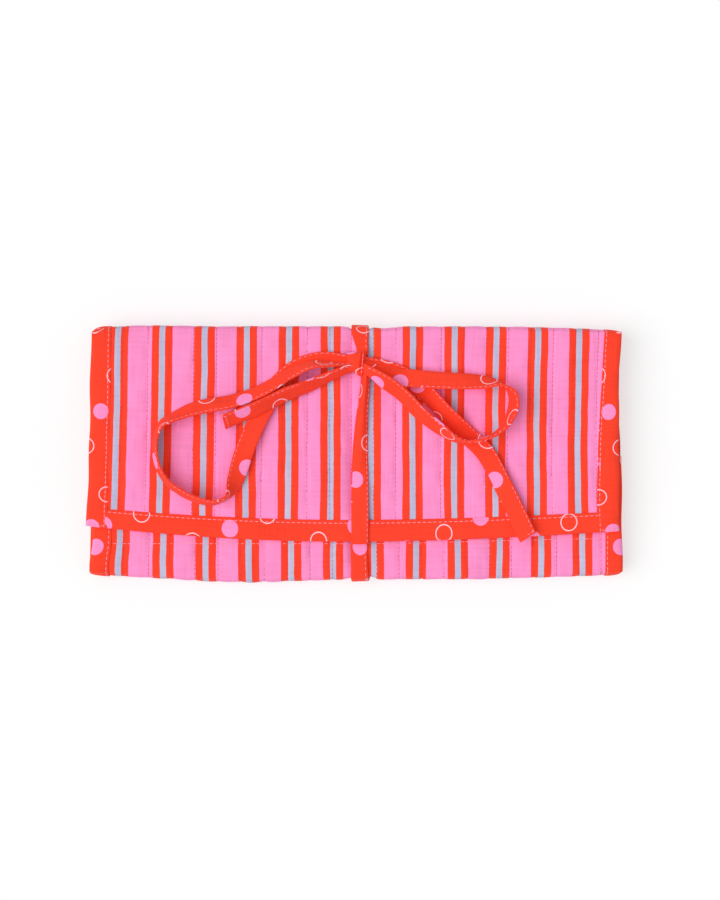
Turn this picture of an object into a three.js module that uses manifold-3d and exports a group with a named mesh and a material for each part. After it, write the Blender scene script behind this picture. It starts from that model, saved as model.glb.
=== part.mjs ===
// Tri-fold jewelry roll, closed and tied with a bow. Units are millimetres, +Z is up.
// The back panel lies on z = 0, the flap's fold is on +Y, and the origin is the bottom centre.
import * as THREE from 'three';
import Module from 'manifold-3d';

const wasm = await Module();
wasm.setup();
const { Manifold, Mesh: ManifoldMesh } = wasm;

// Overall sizes
const WIDTH = 266; // across the roll, bindings included
const HEIGHT = 127; // from the top fold to the bottom fold
const BIND = 10; // visible width of a binding
const FLAP_L = 102.9; // flap, from its crease to its free edge
const FRONT_L = 58; // fold-up front panel, from its crease to its free edge

// Quilt layers, counted outward from the lining's inner face
const LINING = 0.6;
const WADDING = 1.9;
const COVER = 0.5; // cover at a stitch line
const CROWN = 0.6; // rise of a channel over its stitch lines
const QUILT_PITCH = 11.35;
const QUILT_LAST = 2; // a channel narrower than this beside a binding joins its neighbour
const CREST = 0.3; // share of a channel on each side of its flat crest
const QUILT = LINING + WADDING + COVER + CROWN;

// Space inside the closed roll
const POCKET = 0.8; // pocket cloth
const ROOM = 5; // space between the back pocket and the front pocket
const PANEL_GAP = 0.6; // between the front panel and the flap's pocket
const BACK_IN = QUILT;
const FRONT_IN = BACK_IN + POCKET + ROOM + POCKET;
const FLAP_IN = FRONT_IN + QUILT + PANEL_GAP + POCKET;
const FLAP_TOP = FLAP_IN + QUILT;

// Creases: the hinge lines are the inner corners of the folds
const Y_TOP = HEIGHT / 2 - QUILT;
const Y_BOT = -Y_TOP;
const Y_FLAP = Y_TOP - FLAP_L;
const Y_FRONT = Y_BOT + FRONT_L;
const X_OUT = WIDTH / 2;
const X_IN = X_OUT - BIND;
const ARC = 3; // facets of a quarter fold

// Bindings: a folded strip around a thin tongue of wadding
const BIND_LO = 0.2;
const BIND_HI = QUILT - BIND_LO;
const BIND_EASE = 1;
const SLOT_LO = 1.0;
const SLOT_HI = 2.4;
const SLOT_DEEP = 7;
const TONGUE_GAP = 0.15;
const TONGUE_END = 0.3;

// Tie
const TIE_X = 3.75;
const TIE_W = 9.5;
const TIE_T = 1;
const TIE_T_BACK = 0.8; // pressed flat under the roll
const TIE_LOW = QUILT - TIE_T_BACK; // bottom of the groove that the tie presses into the quilt
const TIE_SIDE = 0.3;
const TIE_GROOVE = TIE_W / 2 + TIE_SIDE; // half of the groove
const TIE_CHANNEL = Math.max(QUILT_PITCH / 2, TIE_GROOVE + TIE_SIDE); // half of the channel it runs in
const TIE_STEP = 5; // length of the strap's step up to the flap's end binding
const SPLIT = 0.3; // the tie's loop is open here, at the flap's free edge
const KNOT_W = 13;
const KNOT_L = 14;
const KNOT_H = 6;
const KNOT_ROUND = 3;
const KNOT_BEVEL = 2;
const KNOT_SHIFT = 1.25; // the knot sits this far left of the strap
const KNOT_DROP = 14.9; // and this far below the top crease
const KNOT_X = TIE_X - KNOT_SHIFT;
const KNOT_Y = Y_TOP - KNOT_DROP;

// Pockets and zips
const POCKET_SIDE = 2; // pocket cloth stops this far from the side bindings
const POCKET_EDGE = 3; // and this far from a crease
const POCKET_END = 1; // and this far from an end binding
const POCKET_SEAM = 17.5; // the seam that shows on the front panel, over the bottom fold
const ZIP_SIDE = 30; // from the roll's side to the zip's end
const ZIP_L = WIDTH - 2 * ZIP_SIDE;
const ZIP_GAP = 4; // from the coil's middle to the pocket's edge
const TAPE_W = 7;
const TAPE_T = 0.6;
const COIL_W = 3.8;
const COIL_T = 1.6;
const COIL_DIP = 0.6;
const COIL_PITCH = 4;
const COIL_GAP = 0.2;
const ZIP_DROP = 13.9; // from the top crease to the back zip
const ZIP_STEP = 18; // the flap's zip sits clear of the back zip's slider
const BACK_ZIP_Y = Y_TOP - ZIP_DROP;
const FLAP_ZIP_Y = BACK_ZIP_Y - ZIP_STEP;

// Sliders and pulls
const SLIDER_L = 10;
const SLIDER_END = 11; // from the zip's end to the slider's middle
const SLIDER_WALL = 1.2;
const SLIDER_GAP = 0.3;
const SLIDER_LIFT = 0.2; // over the tapes
const SLIDER_TOP = 1.5;
const SLIDER_EASE = 0.5;
const ARCH = 1.2; // opening under the slider's bridge
const ARCH_BAR = 0.6;
const ARCH_HALF = 2.3;
const ARCH_LEG = 1.2;
const ARCH_W = 1.6;
const PULL_T = 0.8;
const PULL_L = 18;
const PULL_W = 4.8;
const PULL_NECK = 3.4;
const PULL_BAR = 1.6; // the bar that the slider's bridge holds
const PULL_RUN = 0.8; // play between the bar and the bridge's middle
const PULL_SIDE = 1.2; // border of the pull's eye

// Ring bar and snap
const BAR_R = 4.6;
const BAR_SIDES = 16;
const BAR_END = 48; // from the roll's side to the bar's end
const BAR_L = WIDTH - 2 * BAR_END;
const BAR_ROUND = 3;
const BAR_STEPS = 3; // facets of a rounded end
const BAR_FLAT = 2.6; // radius of the flat that the tabs are sewn to
const BAR_CLEAR = 9.9; // from the front panel's edge to the bar's middle
const BAR_Y = Y_FRONT + BAR_CLEAR;
const TAB_T = 0.8;
const TAB_L = 20;
const TAB_W = 9;
const TAB_RISE = 2; // over the bar's middle
const SNAP_R = 4.2;
const SNAP_H = 1.2;
const SNAP_EASE = 0.4;

const group = new THREE.Group();
group.name = 'jewelry_roll';

const FINISH = {
  cover: ['#fd91c9', 0.9, 0],
  wadding: ['#f6f3ee', 0.95, 0],
  lining: ['#f7c4da', 0.9, 0],
  binding: ['#fe4229', 0.88, 0],
  tie: ['#fe4229', 0.85, 0],
  pocket: ['#b4bcd8', 0.9, 0],
  tape: ['#f2523c', 0.85, 0],
  coil: ['#f7c9d6', 0.5, 0],
  metal: ['#d9b36c', 0.3, 1],
};

function add(name, geometry, finish) {
  const [color, roughness, metalness] = FINISH[finish];
  const mesh = new THREE.Mesh(
    geometry,
    new THREE.MeshStandardMaterial({ color, roughness, metalness }),
  );
  mesh.name = name;
  group.add(mesh);
}

// A closed outline pushed along Z, Y or X
function prism(points, length, holes = []) {
  const wound = (ring, way) => {
    const line = ring.map(([a, b]) => new THREE.Vector2(a, b));
    return THREE.ShapeUtils.area(line) * way > 0 ? line : line.reverse();
  };
  const shape = new THREE.Shape(wound(points, 1));
  for (const hole of holes) shape.holes.push(new THREE.Path(wound(hole, -1)));
  return new THREE.ExtrudeGeometry(shape, { depth: length, bevelEnabled: false, curveSegments: 6 });
}

const alongZ = (xy, z0, z1, holes) => prism(xy, z1 - z0, holes).translate(0, 0, z0);
const alongY = (xz, y0, y1) => prism(xz, y1 - y0).rotateX(Math.PI / 2).translate(0, y1, 0);

function alongX(yz, x0, x1) {
  const turn = new THREE.Matrix4().makeBasis(
    new THREE.Vector3(0, 1, 0),
    new THREE.Vector3(0, 0, 1),
    new THREE.Vector3(1, 0, 0),
  );
  return prism(yz, x1 - x0).applyMatrix4(turn).translate(x0, 0, 0);
}

function box(x0, x1, y0, y1, z0, z1) {
  const low = Math.min(z0, z1);
  const high = Math.max(z0, z1);
  return new THREE.BoxGeometry(x1 - x0, y1 - y0, high - low).translate(
    (x0 + x1) / 2,
    (y0 + y1) / 2,
    (low + high) / 2,
  );
}

function toManifold(geometry) {
  const at = geometry.getAttribute('position');
  const index = geometry.getIndex();
  const count = index ? index.count : at.count;
  const seen = new Map();
  const vertices = [];
  const faces = [];
  for (let i = 0; i < count; i++) {
    const v = index ? index.getX(i) : i;
    const p = [at.getX(v), at.getY(v), at.getZ(v)];
    const key = p.map((c) => Math.round(c * 1e5)).join();
    if (!seen.has(key)) {
      seen.set(key, vertices.length / 3);
      vertices.push(...p);
    }
    faces.push(seen.get(key));
  }
  return new Manifold(
    new ManifoldMesh({
      numProp: 3,
      vertProperties: new Float32Array(vertices),
      triVerts: new Uint32Array(faces),
    }),
  );
}

function toGeometry(solid) {
  const mesh = solid.getMesh();
  const geometry = new THREE.BufferGeometry();
  geometry.setAttribute('position', new THREE.BufferAttribute(mesh.vertProperties, 3));
  geometry.setIndex(new THREE.BufferAttribute(mesh.triVerts, 1));
  return geometry;
}

const join = (...parts) =>
  toGeometry(parts.map(toManifold).reduce((a, b) => a.add(b)));
const common = (a, b) => toGeometry(toManifold(a).intersect(toManifold(b)));

// Stitch lines from right to left, counted outward from the tie's channel
function stitchLines() {
  const outward = (room) => {
    const count = Math.max(0, Math.ceil((room - TIE_CHANNEL - QUILT_LAST) / QUILT_PITCH));
    return Array.from({ length: count }, (_, k) => TIE_CHANNEL + k * QUILT_PITCH);
  };
  const right = outward(X_IN - TIE_X).map((a) => TIE_X + a).reverse();
  const left = outward(X_IN + TIE_X).map((a) => TIE_X - a);
  return [X_IN, ...right, ...left, -X_IN];
}

// Outer line of the quilt across the roll: stitch lines, flat-topped channels and the tie's groove
function quiltLine() {
  const notch = QUILT - CROWN;
  const lines = stitchLines();
  const line = [[X_IN, notch]];
  for (let k = 0; k + 1 < lines.length; k++) {
    const [right, left] = [lines[k], lines[k + 1]];
    const wide = right - left;
    if (right > TIE_X && left < TIE_X) {
      line.push([TIE_X + TIE_GROOVE, notch], [TIE_X + TIE_GROOVE, TIE_LOW]);
      line.push([TIE_X - TIE_GROOVE, TIE_LOW], [TIE_X - TIE_GROOVE, notch]);
    } else {
      line.push([right - CREST * wide, QUILT], [left + CREST * wide, QUILT]);
    }
    line.push([left, notch]);
  }
  return line;
}

const LINE = quiltLine();
const COVER_LOW = LINING + WADDING;

// Panels run from a crease to a free or folded edge; lay turns a height over the lining into z
function panel(name, lay, crease, edge, bound) {
  const way = Math.sign(edge - crease);
  const stop = bound ? edge - way * BIND : edge;
  const [y0, y1] = [Math.min(crease, stop), Math.max(crease, stop)];
  const cover = [...LINE, [-X_IN, COVER_LOW], [X_IN, COVER_LOW]];
  add(`${name}_cover`, alongY(cover.map(([x, t]) => [x, lay(t)]), y0, y1), 'cover');
  add(`${name}_lining`, box(-X_IN, X_IN, y0, y1, lay(0), lay(LINING)), 'lining');
  const reach = X_IN + SLOT_DEEP - TONGUE_END;
  const low = SLOT_LO + TONGUE_GAP;
  const high = SLOT_HI - TONGUE_GAP;
  const core = [
    [X_IN, LINING], [X_IN, low], [reach, low], [reach, high], [X_IN, high], [X_IN, COVER_LOW],
  ];
  const ring = [...core, ...core.map(([x, t]) => [-x, t]).reverse()];
  const body = alongY(ring.map(([x, t]) => [x, lay(t)]), y0, y1);
  const ends = [stop - way * TONGUE_END, stop + way * (SLOT_DEEP - TONGUE_END)].sort((a, b) => a - b);
  const side = X_IN - TONGUE_END;
  const wadding = bound ? join(body, box(-side, side, ...ends, lay(low), lay(high))) : body;
  add(`${name}_wadding`, wadding, 'wadding');
}

// Cross-section of a binding: across runs from the quilt's edge to the outer edge
const CHANNEL = [
  [0, BIND_LO], [BIND - BIND_EASE, BIND_LO], [BIND, BIND_LO + BIND_EASE],
  [BIND, BIND_HI - BIND_EASE], [BIND - BIND_EASE, BIND_HI],
  [0, BIND_HI], [0, SLOT_HI], [SLOT_DEEP, SLOT_HI], [SLOT_DEEP, SLOT_LO], [0, SLOT_LO],
];

function sideBinding(name, side, lay, y0, y1) {
  const ring = CHANNEL.map(([a, t]) => [side * (X_IN + a), lay(t)]);
  add(name, alongY(ring, Math.min(y0, y1), Math.max(y0, y1)), 'binding');
}

function endBinding(name, lay, edge, way) {
  const ring = CHANNEL.map(([a, t]) => [edge + way * (a - BIND), lay(t)]);
  add(name, alongX(ring, -X_IN, X_IN), 'binding');
}

// One quarter of a fold, with the quilt's channels, turned about the crease at (y, z)
function quarter(y, z, from, to) {
  const at = [];
  const faces = [];
  const n = LINE.length;
  const ring = ARC + 2;
  for (const [x, r] of LINE) {
    at.push(x, y, z);
    for (let j = 0; j <= ARC; j++) {
      const a = ((from + ((to - from) * j) / ARC) * Math.PI) / 180;
      at.push(x, y + r * Math.cos(a), z + r * Math.sin(a));
    }
  }
  for (let i = 0; i + 1 < n; i++) {
    for (let j = 0; j < ring; j++) {
      const a = i * ring + j;
      const b = i * ring + ((j + 1) % ring);
      faces.push(a, b, b + ring, a, b + ring, a + ring);
    }
  }
  for (let j = 1; j <= ARC; j++) {
    const last = (n - 1) * ring;
    faces.push(0, j + 1, j, last, last + j, last + j + 1);
  }
  return closed(at, faces);
}

// A closed mesh whose faces look outward
function closed(at, faces) {
  let volume = 0;
  const p = (i) => new THREE.Vector3(at[3 * i], at[3 * i + 1], at[3 * i + 2]);
  for (let i = 0; i < faces.length; i += 3) {
    volume += p(faces[i]).dot(p(faces[i + 1]).cross(p(faces[i + 2])));
  }
  const order = volume > 0 ? faces : faces.map((_, i) => faces[i - (i % 3) + [0, 2, 1][i % 3]]);
  const geometry = new THREE.BufferGeometry();
  geometry.setAttribute('position', new THREE.BufferAttribute(new Float32Array(at), 3));
  geometry.setIndex(order);
  return geometry;
}

// A strip that goes round a spine: inner and outer radii about the two creases
function turn(y, way, zLow, zHigh, inner, outerLow, outerHigh) {
  const arc = (z, from, to, r0, r1) =>
    Array.from({ length: ARC + 1 }, (_, j) => {
      const a = ((from + ((to - from) * j) / ARC) * Math.PI) / 180;
      const r = r0 + ((r1 - r0) * j) / ARC;
      return [y + way * r * Math.cos(a), z + r * Math.sin(a)];
    });
  return [
    ...arc(zLow, -90, 0, outerLow, outerHigh),
    ...arc(zHigh, 0, 90, outerHigh, outerHigh),
    ...arc(zHigh, 90, 0, inner, inner),
    ...arc(zLow, 0, -90, inner, inner),
  ];
}

const layBack = (t) => BACK_IN - t;
const layFront = (t) => FRONT_IN + t;
const layFlap = (t) => FLAP_IN + t;

panel('back', layBack, Y_BOT, Y_TOP, false);
panel('flap', layFlap, Y_TOP, Y_FLAP, true);
panel('front', layFront, Y_BOT, Y_FRONT, true);

for (const [word, side] of [['left', -1], ['right', 1]]) {
  sideBinding(`back_binding_${word}`, side, layBack, Y_BOT, Y_TOP);
  sideBinding(`flap_binding_${word}`, side, layFlap, Y_TOP, Y_FLAP);
  sideBinding(`front_binding_${word}`, side, layFront, Y_BOT, Y_FRONT);
  const x0 = Math.min(side * X_IN, side * X_OUT);
  const over = turn(Y_TOP, 1, BACK_IN, FLAP_IN, BIND_LO, BIND_HI, BIND_HI);
  const under = turn(Y_BOT, -1, BACK_IN, FRONT_IN, BIND_LO, BIND_HI, BIND_HI);
  add(`top_binding_${word}`, alongX(over, x0, x0 + BIND), 'binding');
  add(`bottom_binding_${word}`, alongX(under, x0, x0 + BIND), 'binding');
}
endBinding('flap_binding_end', layFlap, Y_FLAP, -1);
endBinding('front_binding_end', layFront, Y_FRONT, 1);

// Spines and their folds
const wall = [...LINE, [-X_IN, 0], [X_IN, 0]];
add('top_spine', alongZ(wall.map(([x, t]) => [x, Y_TOP + t]), BACK_IN, FLAP_IN), 'cover');
add('bottom_spine', alongZ(wall.map(([x, t]) => [x, Y_BOT - t]), BACK_IN, FRONT_IN), 'cover');
add('top_back_fold', quarter(Y_TOP, BACK_IN, -90, 0), 'cover');
add('top_flap_fold', quarter(Y_TOP, FLAP_IN, 0, 90), 'cover');
add('bottom_back_fold', quarter(Y_BOT, BACK_IN, -90, -180), 'cover');
add('bottom_front_fold', quarter(Y_BOT, FRONT_IN, 180, 90), 'cover');

// Zips: h is the height over the panel's lining
function zip(name, y, lay, out) {
  const half = ZIP_L / 2;
  const [tapeLow, tapeHigh] = [POCKET, POCKET + TAPE_T];
  const inner = COIL_W / 2 + COIL_GAP;
  const tape = (a, b) => box(-half, half, y + a, y + b, lay(tapeLow), lay(tapeHigh));
  add(`${name}_zip_tape_lower`, tape(-inner - TAPE_W, -inner), 'tape');
  add(`${name}_zip_tape_upper`, tape(inner, inner + TAPE_W), 'tape');
  const top = POCKET + COIL_T;
  const teeth = [[-half, POCKET], [half, POCKET]];
  const steps = Math.floor(ZIP_L / COIL_PITCH);
  for (let k = 0; k < steps; k++) {
    const x = half - (k * ZIP_L) / steps;
    teeth.push([x, top - COIL_DIP], [x - ZIP_L / steps / 2, top]);
  }
  teeth.push([-half, top - COIL_DIP]);
  const coil = alongY(teeth.map(([x, h]) => [x, lay(h)]), y - COIL_W / 2, y + COIL_W / 2);
  add(`${name}_zip_coil`, coil, 'coil');
  const x = -out * (half - SLIDER_END);
  add(`${name}_zip_slider`, slider(x, y, lay, out, tapeHigh, top), 'metal');
  add(`${name}_zip_pull`, pull(x, y, lay, out, top), 'metal');
}

function slider(x, y, lay, out, tapeHigh, top) {
  const inside = COIL_W / 2 + SLIDER_GAP;
  const outside = inside + SLIDER_WALL;
  const low = tapeHigh + SLIDER_LIFT;
  const roof = top + SLIDER_GAP;
  const deck = roof + SLIDER_TOP;
  const section = [
    [-outside, low], [-inside, low], [-inside, roof], [inside, roof], [inside, low], [outside, low],
    [outside, deck - SLIDER_EASE], [outside - SLIDER_EASE, deck],
    [SLIDER_EASE - outside, deck], [-outside, deck - SLIDER_EASE],
  ];
  const long = SLIDER_L / 2;
  const nose = inside + SLIDER_GAP;
  const shell = alongX(section.map(([a, h]) => [y + a, lay(h)]), x - long, x + long);
  const plan = [
    [-long, -outside], [0, -outside], [long, -nose], [long, nose], [0, outside],
    [-long, outside],
  ].map(([a, b]) => [x - out * a, y + b]);
  const span = [lay(0), lay(deck + ARCH)].sort((a, b) => a - b);
  const body = common(shell, alongZ(plan, span[0], span[1]));
  const [near, far] = [ARCH_HALF, ARCH_HALF + ARCH_LEG];
  const crown = deck + ARCH;
  const root = deck - SLIDER_EASE;
  const arch = [
    [-far, root], [-near, root], [-near, crown], [near, crown], [near, root],
    [far, root], [far, crown], [near, crown + ARCH_BAR], [-near, crown + ARCH_BAR], [-far, crown],
  ].map(([a, h]) => [x + a, lay(h)]);
  return join(body, alongY(arch, y - ARCH_W / 2, y + ARCH_W / 2));
}

function pull(x, y, lay, out, top) {
  const deck = top + SLIDER_GAP + SLIDER_TOP;
  const low = deck + (ARCH - PULL_T) / 2;
  const eye = ARCH_HALF + ARCH_LEG + PULL_RUN;
  const [wide, neck] = [PULL_W / 2, PULL_NECK / 2];
  const outline = [
    [-PULL_BAR / 2, -wide], [eye + PULL_SIDE, -wide], [2 * eye, -neck], [PULL_L - wide, -wide],
    [PULL_L - wide / 3, -neck], [PULL_L, -wide / 3],
  ];
  const ring = [...outline, ...outline.map(([a, b]) => [a, -b]).reverse()];
  const border = wide - PULL_SIDE;
  const hole = [[PULL_BAR / 2, -border], [eye, -border], [eye, border], [PULL_BAR / 2, border]];
  const place = (points) => points.map(([a, b]) => [x - out * a, y + b]);
  const span = [lay(low), lay(low + PULL_T)].sort((a, b) => a - b);
  return alongZ(place(ring), span[0], span[1], [place(hole)]);
}

const inBack = (h) => BACK_IN + h;
const inFlap = (h) => FLAP_IN - h;

function pocket(name, y0, y1, lay) {
  const side = X_IN - POCKET_SIDE;
  add(name, box(-side, side, y0, y1, lay(0), lay(POCKET)), 'pocket');
}
pocket('back_pocket', Y_BOT + POCKET_EDGE, BACK_ZIP_Y - ZIP_GAP, inBack);
pocket('back_pocket_header', BACK_ZIP_Y + ZIP_GAP, Y_TOP - POCKET_EDGE, inBack);
pocket('flap_pocket', Y_FLAP + BIND + POCKET_END, FLAP_ZIP_Y - ZIP_GAP, inFlap);
pocket('flap_pocket_header', FLAP_ZIP_Y + ZIP_GAP, Y_TOP - POCKET_EDGE, inFlap);
pocket('front_pocket', POCKET_SEAM - HEIGHT / 2, Y_FRONT - BIND - POCKET_END, (h) => FRONT_IN - h);
zip('back', BACK_ZIP_Y, inBack, -1);
zip('flap', FLAP_ZIP_Y, inFlap, 1);

// Ring bar on the back pocket: a stuffed roll, sewn at the left end, snapped at the right end
function ringBar() {
  const base = inBack(POCKET);
  const half = BAR_L / 2;
  const z = base + BAR_R;
  const cap = Array.from({ length: BAR_STEPS + 1 }, (_, k) => {
    const a = (k * Math.PI) / (2 * BAR_STEPS);
    return [BAR_FLAT + (BAR_R - BAR_FLAT) * Math.sin(a), half - BAR_ROUND * (1 - Math.cos(a))];
  });
  const side = [[0, half], ...cap];
  const outline = [...side.map(([r, a]) => [r, -a]), ...side.reverse()];
  const profile = outline.map(([r, a]) => new THREE.Vector2(r, a));
  const bar = new THREE.LatheGeometry(profile, BAR_SIDES).rotateZ(-Math.PI / 2);
  add('ring_bar', bar.rotateX(Math.PI / BAR_SIDES).translate(0, BAR_Y, z), 'lining');
  const tab = (side, lift) => {
    const low = base + lift;
    const ring = [
      [half, low], [half + TAB_L, low], [half + TAB_L, low + TAB_T], [half + TAB_T, low + TAB_T],
      [half + TAB_T, z + TAB_RISE], [half, z + TAB_RISE],
    ].map(([x, h]) => [side * x, h]);
    return alongY(ring, BAR_Y - TAB_W / 2, BAR_Y + TAB_W / 2);
  };
  add('ring_bar_anchor', tab(-1, 0), 'lining');
  add('ring_bar_tab', tab(1, SNAP_H), 'lining');
  const x = half + (TAB_L + SNAP_R) / 2;
  const disc = (r, z0, z1) =>
    new THREE.LatheGeometry(
      [[0, z0], [r, z0], [r, z1 - SNAP_EASE], [r - SNAP_EASE, z1], [0, z1]].map(
        ([a, b]) => new THREE.Vector2(a, b),
      ),
      BAR_SIDES,
    ).rotateX(Math.PI / 2).translate(x, BAR_Y, 0);
  add('snap_socket', disc(SNAP_R, base, base + SNAP_H), 'metal');
  add('snap_cap', disc(SNAP_R, base + SNAP_H + TAB_T, base + 2 * SNAP_H + TAB_T), 'metal');
}
ringBar();

// Tie: straps in the quilt's groove, turns round the spines, knot and bow
const strap = (y0, y1, z0, z1) => box(TIE_X - TIE_W / 2, TIE_X + TIE_W / 2, y0, y1, z0, z1);
const TIE_HIGH = TIE_LOW + TIE_T;
add('tie_back', strap(Y_BOT, Y_TOP, 0, layBack(TIE_LOW)), 'tie');
const tieTurn = (y, way, z) =>
  alongX(turn(y, way, BACK_IN, z, TIE_LOW, QUILT, TIE_HIGH), TIE_X - TIE_W / 2, TIE_X + TIE_W / 2);
add('tie_top_turn', tieTurn(Y_TOP, 1, FLAP_IN), 'tie');
add('tie_bottom_turn', tieTurn(Y_BOT, -1, FRONT_IN), 'tie');
const tieFlap = [layFlap(TIE_LOW), layFlap(TIE_HIGH)];
add('tie_flap_upper', strap(KNOT_Y + KNOT_L / 2, Y_TOP, ...tieFlap), 'tie');
add('tie_front', strap(Y_BOT, Y_FLAP - SPLIT, layFront(TIE_LOW), layFront(TIE_HIGH)), 'tie');

// Below the knot the strap steps up over the flap's end binding
function lowerStrap() {
  const step = Y_FLAP + BIND;
  const ring = [
    [KNOT_Y - KNOT_L / 2, tieFlap[0]], [step, tieFlap[0]], [step, FLAP_TOP], [Y_FLAP, FLAP_TOP],
    [Y_FLAP, FLAP_TOP + TIE_T], [step + TIE_T, FLAP_TOP + TIE_T], [step + TIE_STEP, tieFlap[1]],
    [KNOT_Y - KNOT_L / 2, tieFlap[1]],
  ];
  return alongX(ring, TIE_X - TIE_W / 2, TIE_X + TIE_W / 2);
}
add('tie_flap_lower', lowerStrap(), 'tie');

function knot() {
  const [w, l] = [KNOT_W / 2 - KNOT_ROUND, KNOT_L / 2 - KNOT_ROUND];
  const shape = new THREE.Shape();
  shape.absarc(w, l, KNOT_ROUND, 0, Math.PI / 2);
  shape.absarc(-w, l, KNOT_ROUND, Math.PI / 2, Math.PI);
  shape.absarc(-w, -l, KNOT_ROUND, Math.PI, 1.5 * Math.PI);
  shape.absarc(w, -l, KNOT_ROUND, 1.5 * Math.PI, 2 * Math.PI);
  const geometry = new THREE.ExtrudeGeometry(shape, {
    depth: KNOT_H - 2 * KNOT_BEVEL,
    bevelThickness: KNOT_BEVEL,
    bevelSize: KNOT_BEVEL,
    bevelOffset: -KNOT_BEVEL,
    bevelSegments: 3,
    curveSegments: 3,
  });
  return geometry.translate(KNOT_X, KNOT_Y, tieFlap[1] + KNOT_BEVEL);
}
add('tie_knot', knot(), 'tie');

// Bow: points are [x and y from the knot, height over the flap, roll]; roll 0 is flat, 90 is on edge
const LOOP_LEFT = [
  [-8.3, -1.2, 6.8, -104], [-15, -1.4, 6.6, -108], [-24, -1.6, 6.4, -116], [-34, -5.8, 6.2, -125],
  [-44, -12, 6.1, -129], [-54.5, -16.9, 5.8, -131], [-64, -20, 5.6, -134], [-77, -22.2, 5.4, -138],
  [-89.5, -26.2, 5.3, -125], [-98.5, -31.1, 5.3, -112], [-101.5, -39.2, 5.3, -106], [-101, -50, 5.3, -106],
  [-96.5, -58.9, 5.3, -108], [-88.8, -65.2, 5.3, -110], [-79.5, -69.2, 5.3, -112], [-71.8, -69.9, 5, -116],
  [-65.9, -66.6, 4.3, -132], [-62.2, -59.2, 2.8, -158], [-57.5, -45.5, 1.2, -180], [-52, -32, 1.1, -180],
  [-46.5, -21.5, 1.1, -180], [-40.7, -11.6, 1.1, -180], [-31.3, -3.4, 1.1, -180], [-21.6, 0, 1.1, -180],
  [-15, 0.5, 1.1, -180], [-8.2, -0.9, 1.1, -180],
];
const TAIL_LEFT = [
  [-8.5, -6.2, 5.2, -55], [-20.5, -10, 4.8, -54], [-37, -16.7, 5.8, -50], [-52.5, -24, 5.8, -46],
  [-67.4, -30.1, 5, -48],
];
const LOOP_RIGHT = [
  [8.1, -4.8, 2.4, -2], [14, -7.1, 2.6, -6], [20, -8.1, 3.5, -14], [28, -8.4, 4.6, -20],
  [36, -9, 5.2, -24], [49, -9.7, 5.5, -28], [62.5, -10.3, 5.6, -46], [71.4, -11.4, 6, -64],
  [77.4, -15.4, 6.2, -66], [79, -21.5, 6.2, -64], [75, -30.2, 6.4, -72], [67, -36.9, 6.8, -86],
  [58, -39.6, 7, -90], [51, -39.6, 6.8, -82], [42, -34.7, 6.2, -58], [31.2, -26.2, 6, -46],
  [20.5, -15.6, 6.5, -46], [9.8, -7.8, 7.1, -44],
];
const TAIL_RIGHT = [
  [8, -2.8, 1, 0], [13.6, -3.9, 1, 0], [23.5, -7.8, 1, 0], [34.1, -16.7, 1, 0], [43.8, -26.7, 1, 0],
  [52, -34.5, 1, 0], [63, -45.3, 1.1, 3], [71.5, -60.9, 1.8, 12], [78, -74, 1.8, 12],
  [84.5, -87.7, 1.6, 12],
];

function ribbon(route, steps) {
  const path = new THREE.CatmullRomCurve3(
    route.map(([x, y, h]) => new THREE.Vector3(KNOT_X + x, KNOT_Y + y, FLAP_TOP + h)),
    false,
    'centripetal',
  );
  const rolls = new THREE.SplineCurve(route.map(([, , , roll], i) => new THREE.Vector2(i, roll)));
  const count = (route.length - 1) * steps;
  const at = [];
  const faces = [];
  for (let i = 0; i <= count; i++) {
    const u = i / count;
    const p = path.getPoint(u);
    const along = path.getTangent(u);
    const flat = new THREE.Vector3(-along.y, along.x, 0).normalize();
    const up = along.clone().cross(flat);
    const roll = (rolls.getPoint(u).y * Math.PI) / 180;
    const wide = flat.clone().multiplyScalar(Math.cos(roll)).addScaledVector(up, Math.sin(roll));
    const thick = along.clone().cross(wide);
    for (const [a, b] of [[-1, -1], [1, -1], [1, 1], [-1, 1]]) {
      const q = p.clone().addScaledVector(wide, (a * TIE_W) / 2).addScaledVector(thick, (b * TIE_T) / 2);
      at.push(q.x, q.y, q.z);
    }
  }
  for (let i = 0; i < count; i++) {
    for (let j = 0; j < 4; j++) {
      const a = 4 * i + j;
      const b = 4 * i + ((j + 1) % 4);
      faces.push(a, b, b + 4, a, b + 4, a + 4);
    }
  }
  const last = 4 * count;
  faces.push(0, 2, 1, 0, 3, 2, last, last + 1, last + 2, last, last + 2, last + 3);
  return closed(at, faces);
}
add('tie_loop_left', ribbon(LOOP_LEFT, 3), 'tie');
add('tie_loop_right', ribbon(LOOP_RIGHT, 3), 'tie');
add('tie_tail_left', ribbon(TAIL_LEFT, 2), 'tie');
add('tie_tail_right', ribbon(TAIL_RIGHT, 2), 'tie');

export default group;
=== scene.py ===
import math

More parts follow.
